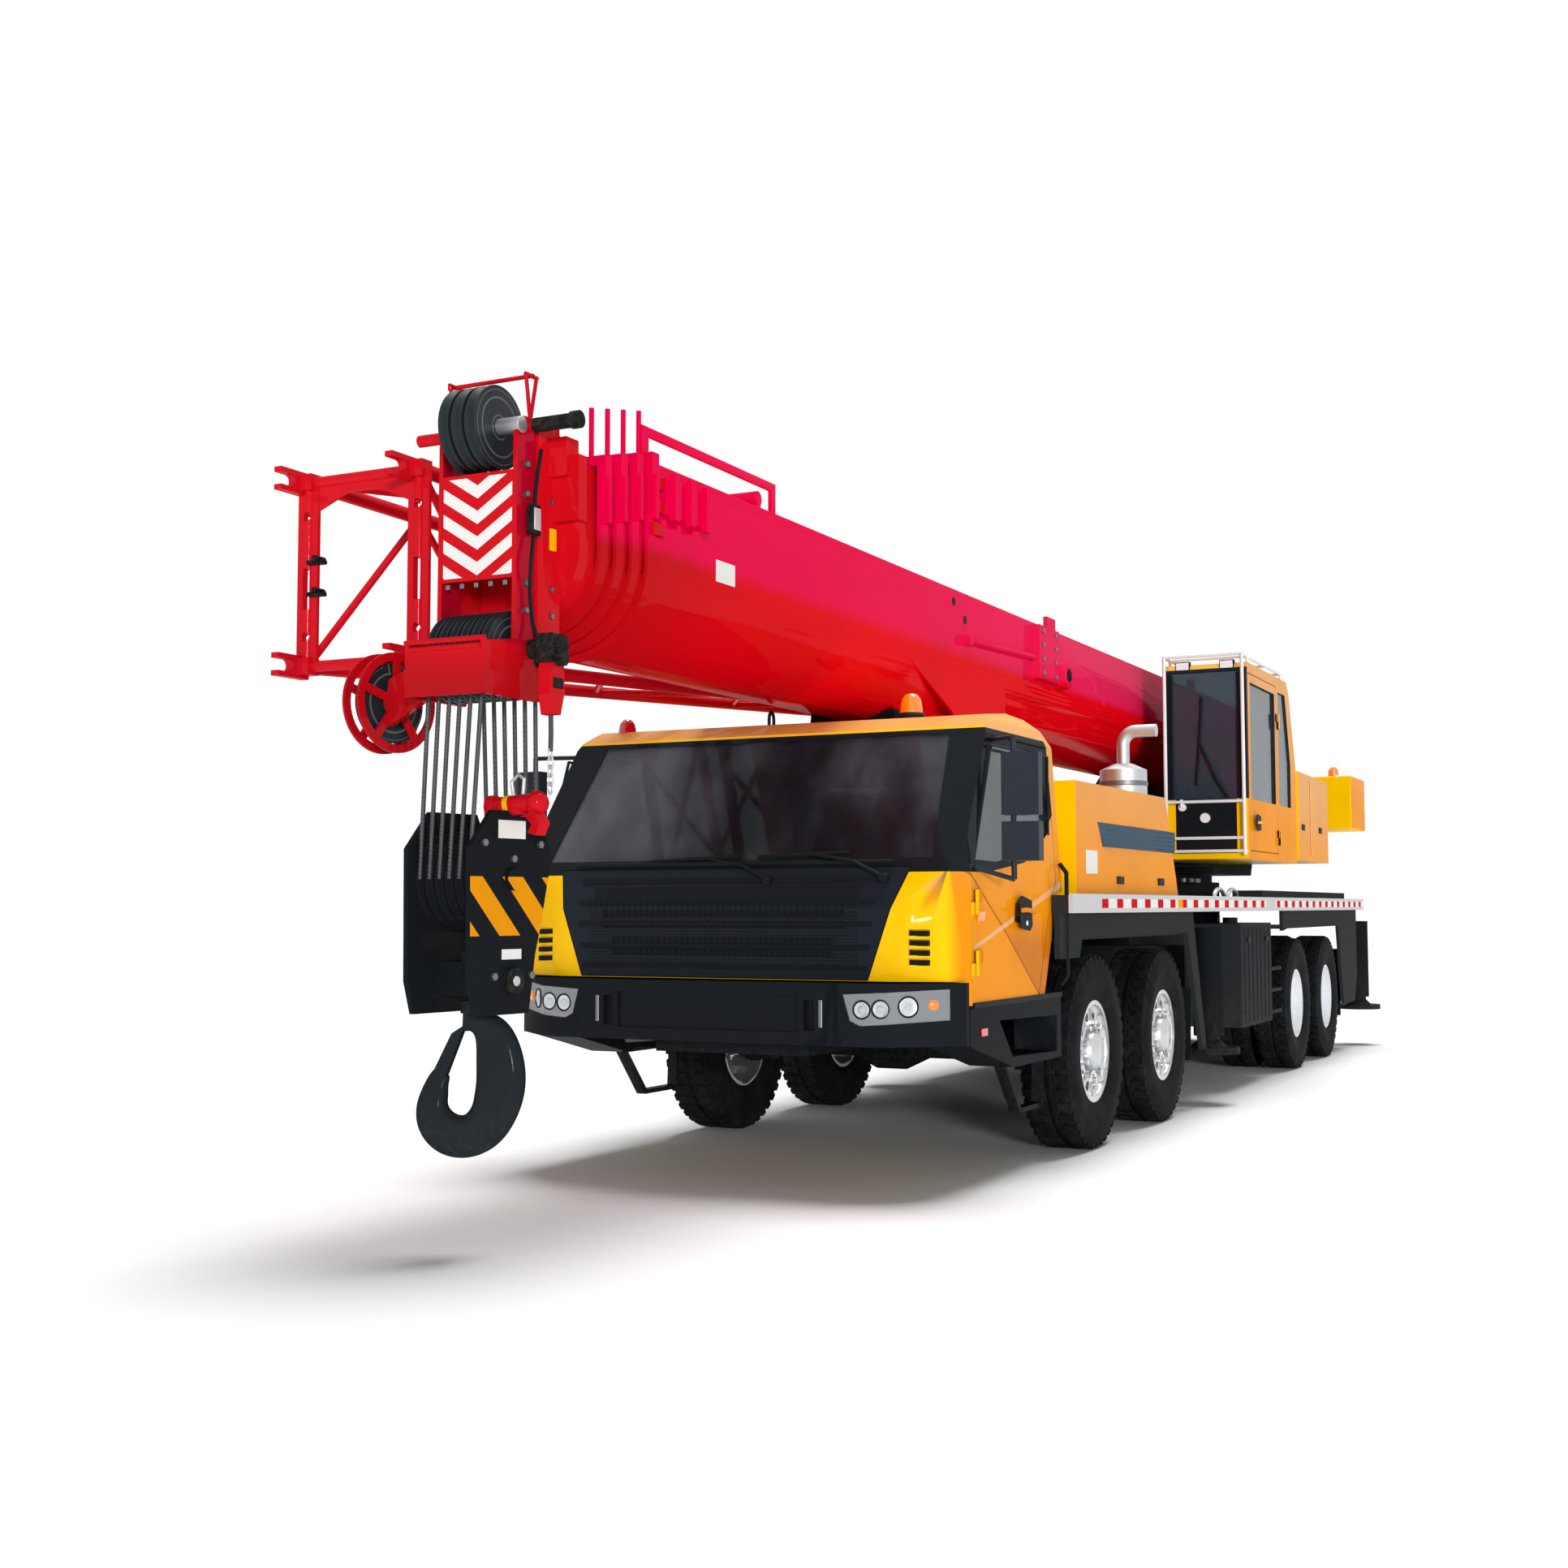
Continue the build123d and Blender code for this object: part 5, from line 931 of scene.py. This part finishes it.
def makeOperatorParts():
    fittings = Piece("operatorFittings", "turntable", "trim_black", "trim")
    front = operator["front"]
    fittings.tube([(1.14, 1.395, 2.2), (1.05, 1.392, 2.35), (0.93, 1.396, 2.62)], 0.01)
    fittings.tube([(0.9, front, 2.3), (0.93, front, 2.66), (0.95, front, 2.98)], 0.012, 6)
    for x, z, radius in operator["lamps"]:
        fittings.use("lamp").rod((x, front, z), (x, front - 0.027, z), radius, 24)
    fittings.use("white").rod((0.79, 1.36, 2.13), (0.79, 1.36, 2.19), 0.012)
    for x in operator["workLamps"]:  # under the roof rack
        fittings.use("trim").box(x - 0.055, x + 0.055, 1.42, 1.47, 3.19, 3.262)
        fittings.use("lamp").box(x - 0.048, x + 0.048, 1.412, 1.421, 3.198, 3.254)
    fittings.use("trim")
    for x in operator["seals"]:
        fittings.tube([(x, 1.398, 2.2), (x, 1.398, 3.16)], 0.009, 6)
    fittings.done(0.002)
    door = Piece("operatorDoorFittings", "operator_door", "trim_black", "trim")
    door.slab([(1.56, 2.02), (1.6, 2.075), (1.72, 2.065), (1.72, 1.955), (1.6, 1.945)], 1.312, 1.3205)
    door.use("cover").tube([(1.3195, 1.59, 2.01), (1.342, 1.6, 2.01), (1.342, 1.69, 2.012),
                            (1.3195, 1.7, 2.012)], 0.01)
    door.done(0.002)


upper = {"beacons": (1.02, -1.02), "cover": 1.298, "latches": (3.42, 4.2),
         "drums": ((5.6, 2.38), (6.25, 2.885)), "rope": 0.0104, "pitch": 0.021}


def makeUpperParts():
    fittings = Piece("upperFittings", "turntable", "cab_yellow", "amber")
    for x in upper["beacons"]:
        place = (x, 6.6, 2.645)
        fittings.use("trim").lathe([(0.07, 0), (0.07, 0.03), (0.055, 0.04)], place, (0, 0, 1), 24)
        fittings.use("amber").lathe([(0.055, 0.035), (0.05, 0.11), (0.025, 0.14)], place, (0, 0, 1), 24)
    for side in (1, -1):
        lens = [(0.05, -0.01), (0.05, 0.006), (0.04, 0.012)]
        fittings.use("redLens").lathe(lens, (side * 0.5, 6.918, 2.32), (side * 0.16, 1, 0), 24)
        cover = side * upper["cover"]
        fittings.use("trim")
        for y in upper["latches"]:
            fittings.box(cover, side * 1.309, y, y + 0.11, 2.02, 2.07)
        fittings.use("seam").box(cover, side * 1.3015, 3.8, 3.808, 1.8, 2.48)
        fittings.use("chrome").rod((side * 1.1, 6.3, 2.64), (side * 1.1, 6.3, 2.675), 0.03)
    fittings.done(0.002)
    ropes = Piece("drumRope", "turntable", "rope_steel", "rope")
    for y, z in upper["drums"]:
        for layer, count in ((0, 30), (1, 29)):
            ropes.grow(coil, Count=count, Start=(-0.305 + layer * 0.0105, y, z), Step=(upper["pitch"], 0, 0),
                       Radius=0.16 + layer * 0.018, Rope=upper["rope"])
    ropes.done(0)


makeOperatorParts()
makeUpperParts()
print("upper works dressed")


# boom, head and hook
def makeBoomParts():
    base = Piece("boomFittings", "boom", "boom_red", "plate")
    base.box(0.399, 0.404, -5.385, -5.205, 2.845, 2.945)
    base.use("trim")
    for y, z in ((-2.422, 3.195), (-2.235, 3.109)):
        base.pin(0.395, 0.404, y, z, 0.026, 20)
    base.use("red")
    for side in (1, -1):
        base.grow(row, Count=3, Start=(side * 0.4, -5.93, 2.98), Step=(0, 0, 0.1),
                  Size=(0.05, 0.085, 0.055))
    base.use("bolt")
    for y in (-0.93, -0.67):
        base.grow(row, Count=4, Start=(0.462, y, 2.93), Step=(0, 0, 0.095), Size=(0.016, 0.026, 0.026))
    base.use("black").pin(0.4, 0.502, -0.49, 2.96, 0.045, 24)
    base.done(0.002)


tip = {"pinY": -6.55, "topZ": 3.31, "lowZ": 2.4, "clampY": -6.56, "plate": 0.19, "boltFace": 0.2135,
       "boltZ": (2.55, 2.66, 3.02, 3.14), "boltY": (-6.6, -6.42)}
chain = {"x": 0.299, "top": 1.975, "pitch": 0.034, "links": 5, "wide": 0.013, "tall": 0.024, "wire": 0.0045}


def addChain(piece):  # links hang in turn along x and along y
    for k in range(chain["links"]):
        along, across = Vector((0, 1, 0)), Vector((1, 0, 0))
        if k % 2:
            along, across = across, along
        centre = Vector((chain["x"], tip["clampY"], chain["top"] - chain["pitch"] * k))
        rings = []
        for t in [math.tau * step / 10 for step in range(10)]:
            offset = along * chain["wide"] * math.cos(t) + Vector((0, 0, chain["tall"] * math.sin(t)))
            outward = offset.normalized()
            rings.append([centre + offset + (outward * math.cos(a) + across * math.sin(a)) * chain["wire"]
                          for a in (0, 1.05, 2.09, 3.14, 4.19, 5.24)])
        piece.skin(rings, closed=True)


def makeHeadParts():
    head = Piece("headFittings", "head", "boom_red", "black")
    for x0, x1, radius in ((0.385, 0.425, 0.036), (-0.235, -0.2, 0.036), (0.205, 0.4, 0.03)):
        head.pin(x0, x1, tip["pinY"], tip["topZ"], radius, 24)
    head.use("silver").pin(-0.1, 0.195, -6.62, 3.3, 0.034, 24)
    head.use("black")
    for side in (1, -1):
        head.pin(side * 0.196, side * 0.352, tip["pinY"], tip["lowZ"], 0.04, 24)
    # rope clamp, wedge socket and the chain under the near pin
    head.box(0.262, 0.338, -6.615, -6.5, 2.335, 2.452)
    head.pin(0.235, 0.365, tip["clampY"], 2.352, 0.03, 20)
    head.use("red").slab([(-6.6, 2.36), (-6.515, 2.36), (-6.508, 2.22), (-6.535, 2.13), (-6.585, 2.13),
                          (-6.608, 2.22)], 0.268, 0.33)
    head.use("black").box(0.262, 0.338, -6.59, -6.53, 2.235, 2.275)
    head.use("rope").tube([(0.299, -6.56, 2.14), (0.302, -6.562, 2.06), (0.299, -6.56, 1.985)], 0.01)
    addChain(head.use("silver"))
    # limit switch and its cable down the near plate
    head.use("black").box(0.2045, 0.232, -6.6, -6.54, 2.86, 2.98)
    head.use("silver").box(0.232, 0.238, -6.592, -6.548, 2.875, 2.965)
    head.use("trim").tube([(0.218, -6.57, 2.862), (0.226, -6.6, 2.74), (0.212, -6.585, 2.62),
                           (0.216, -6.57, 2.5), (0.24, -6.56, 2.43)], 0.008)
    head.tube([(0.218, -6.57, 2.978), (0.222, -6.55, 3.12), (0.212, -6.51, 3.22)], 0.008)
    head.use("yellow").box(0.2045, 0.214, -6.44, -6.4, 2.82, 2.91)
    head.use("bolt")
    for z in tip["boltZ"]:
        for y in tip["boltY"]:
            for side in (1, -1):
                head.pin(side * tip["plate"], side * tip["boltFace"], y, z, 0.013, 6)
    head.grow(row, Count=5, Start=(-0.14, -6.6525, 2.66), Step=(0.07, 0, 0), Size=(0.02, 0.008, 0.02))
    head.done(0.0015)
    jib = Piece("jibFittings", "boom", "boom_red", "black")
    for y in (-6.3, -5.2, -3.9, -2.6, -1.3, -0.1):
        for z in (2.72, 2.98):
            jib.box(-0.43, -0.385, y, y + 0.1, z, z + 0.035)
    for z in (2.72, 2.86):
        jib.box(-1.03, -0.95, -6.485, -6.44, z, z + 0.018)
        jib.rod((-0.968, -6.51, z + 0.02), (-0.968, -6.44, z + 0.02), 0.013)
    jib.done(0.002)


hook = {"middle": (-0.012, -6.6, 0), "turn": -6, "cheek": 0.172, "face": 0.174, "axleZ": 1.08,
        "bolts": ((-0.17, 1.62), (0.16, 1.62), (0.0, 1.56), (-0.11, 1.1), (0.11, 1.1)),
        "small": (0.2, 0.02, 1.745)}


def makeHookParts():
    turn = Matrix.Translation(hook["middle"]) @ turned((hook["turn"], "Z"))
    block = Piece("blockFittings", "hook_block", "hook_black", "plate")
    block.turn = turn
    for side in (1, -1):
        cheek, face = side * hook["cheek"], side * hook["face"]
        block.use("plate").box(face, side * 0.1785, -0.085, 0.075, 1.64, 1.712)
        block.box(face, side * 0.178, -0.06, 0.055, 1.165, 1.205)
        block.use("bolt")
        for y, z in hook["bolts"]:
            block.pin(cheek, side * 0.19, y, z, 0.016, 6)
        block.use("black").pin(cheek, side * 0.2, 0, hook["axleZ"], 0.052, 28)
        block.use("silver").pin(side * 0.199, side * 0.204, 0, hook["axleZ"], 0.02, 16)
    block.done(0.0015)
    small = Piece("smallHook", "hook_block", "boom_red", "red")
    small.turn = turn @ Matrix.Translation(hook["small"])
    small.rod((-0.11, -0.03, 0.02), (0.06, 0.01, 0.034), 0.04, 20)
    small.ball((0.07, 0.012, 0.034), 0.05, (0, 0, 1), False, 18)
    small.slab([(0.02, -0.02), (0.09, 0.01), (0.125, -0.045), (0.1, -0.095), (0.055, -0.085),
                (0.078, -0.052), (0.045, -0.02)], -0.03, 0.03, 1)
    small.rod((-0.135, -0.035, 0.02), (-0.1, -0.028, 0.022), 0.048, 20)
    small.use("yellow").rod((-0.06, -0.02, 0.024), (-0.04, -0.015, 0.027), 0.0425, 20)
    small.use("silver").tube([(-0.03, -0.01, 0.06), (-0.045, -0.005, 0.12), (-0.015, 0.0, 0.15),
                              (0.015, 0.0, 0.13), (0.01, 0.0, 0.07)], 0.008)
    small.done(0.002, 40)


makeBoomParts()
makeHeadParts()
makeHookParts()
print("boom and hook dressed")


# floor and light
stageSizes = {"half": 120.0, "skyTop": 0.28, "skyRim": 0.1}
# name, heading, height, strength and angle of each sun
lampTable = (("overhead", 174, 73, 3.1, 32), ("fill", 36, 6, 1.95, 11))


def makeFloor():
    mesh = bpy.data.meshes.new("floor")
    h = stageSizes["half"]
    mesh.from_pydata([(-h, -h, 0), (h, -h, 0), (h, h, 0), (-h, h, 0)], [], [(0, 1, 2, 3)])
    floor = placed("floor", mesh)
    net = Net("paleFloor")
    colour = net.mix(net.noise(2.0) * 0.03, (0.96, 0.96, 0.96, 1), (0.88, 0.88, 0.88, 1))
    mesh.materials.append(net.finish(Base_Color=colour, Roughness=0.95, Specular_IOR_Level=0.1))


def makeSky():
    world = bpy.data.worlds.new("studio")
    bpy.context.scene.world = world
    world.use_nodes = True
    sky = Nodes(world.node_tree)
    back = sky.tree.nodes["Background"]
    back.inputs["Color"].default_value = (1, 1, 1, 1)
    place = sky.add("ShaderNodeTexCoord", out="Generated")
    height = sky.add("ShaderNodeSeparateXYZ", {}, {0: place}, out="Z")
    level = sky.add("ShaderNodeMapRange", {}, {"Value": height, "To Min": stageSizes["skyRim"],
                                               "To Max": stageSizes["skyTop"]})
    for ray in ("Is Camera Ray", "Is Glossy Ray", "Is Transmission Ray"):  # white where it is seen
        level = level.most(sky.add("ShaderNodeLightPath", out=ray))
    sky.feed(back.inputs["Strength"], level)


def makeLamp(name, heading, height, strength, angle):
    lamp = bpy.data.lights.new(name, "SUN")
    lamp.energy = strength
    lamp.angle = math.radians(angle)
    placed(name, lamp).matrix_world = turned((heading, "Z"), (90 - height, "X"))


makeFloor()
makeSky()
for lampRow in lampTable:
    makeLamp(*lampRow)
bpy.context.scene.view_settings.view_transform = "Standard"
print("stage set")
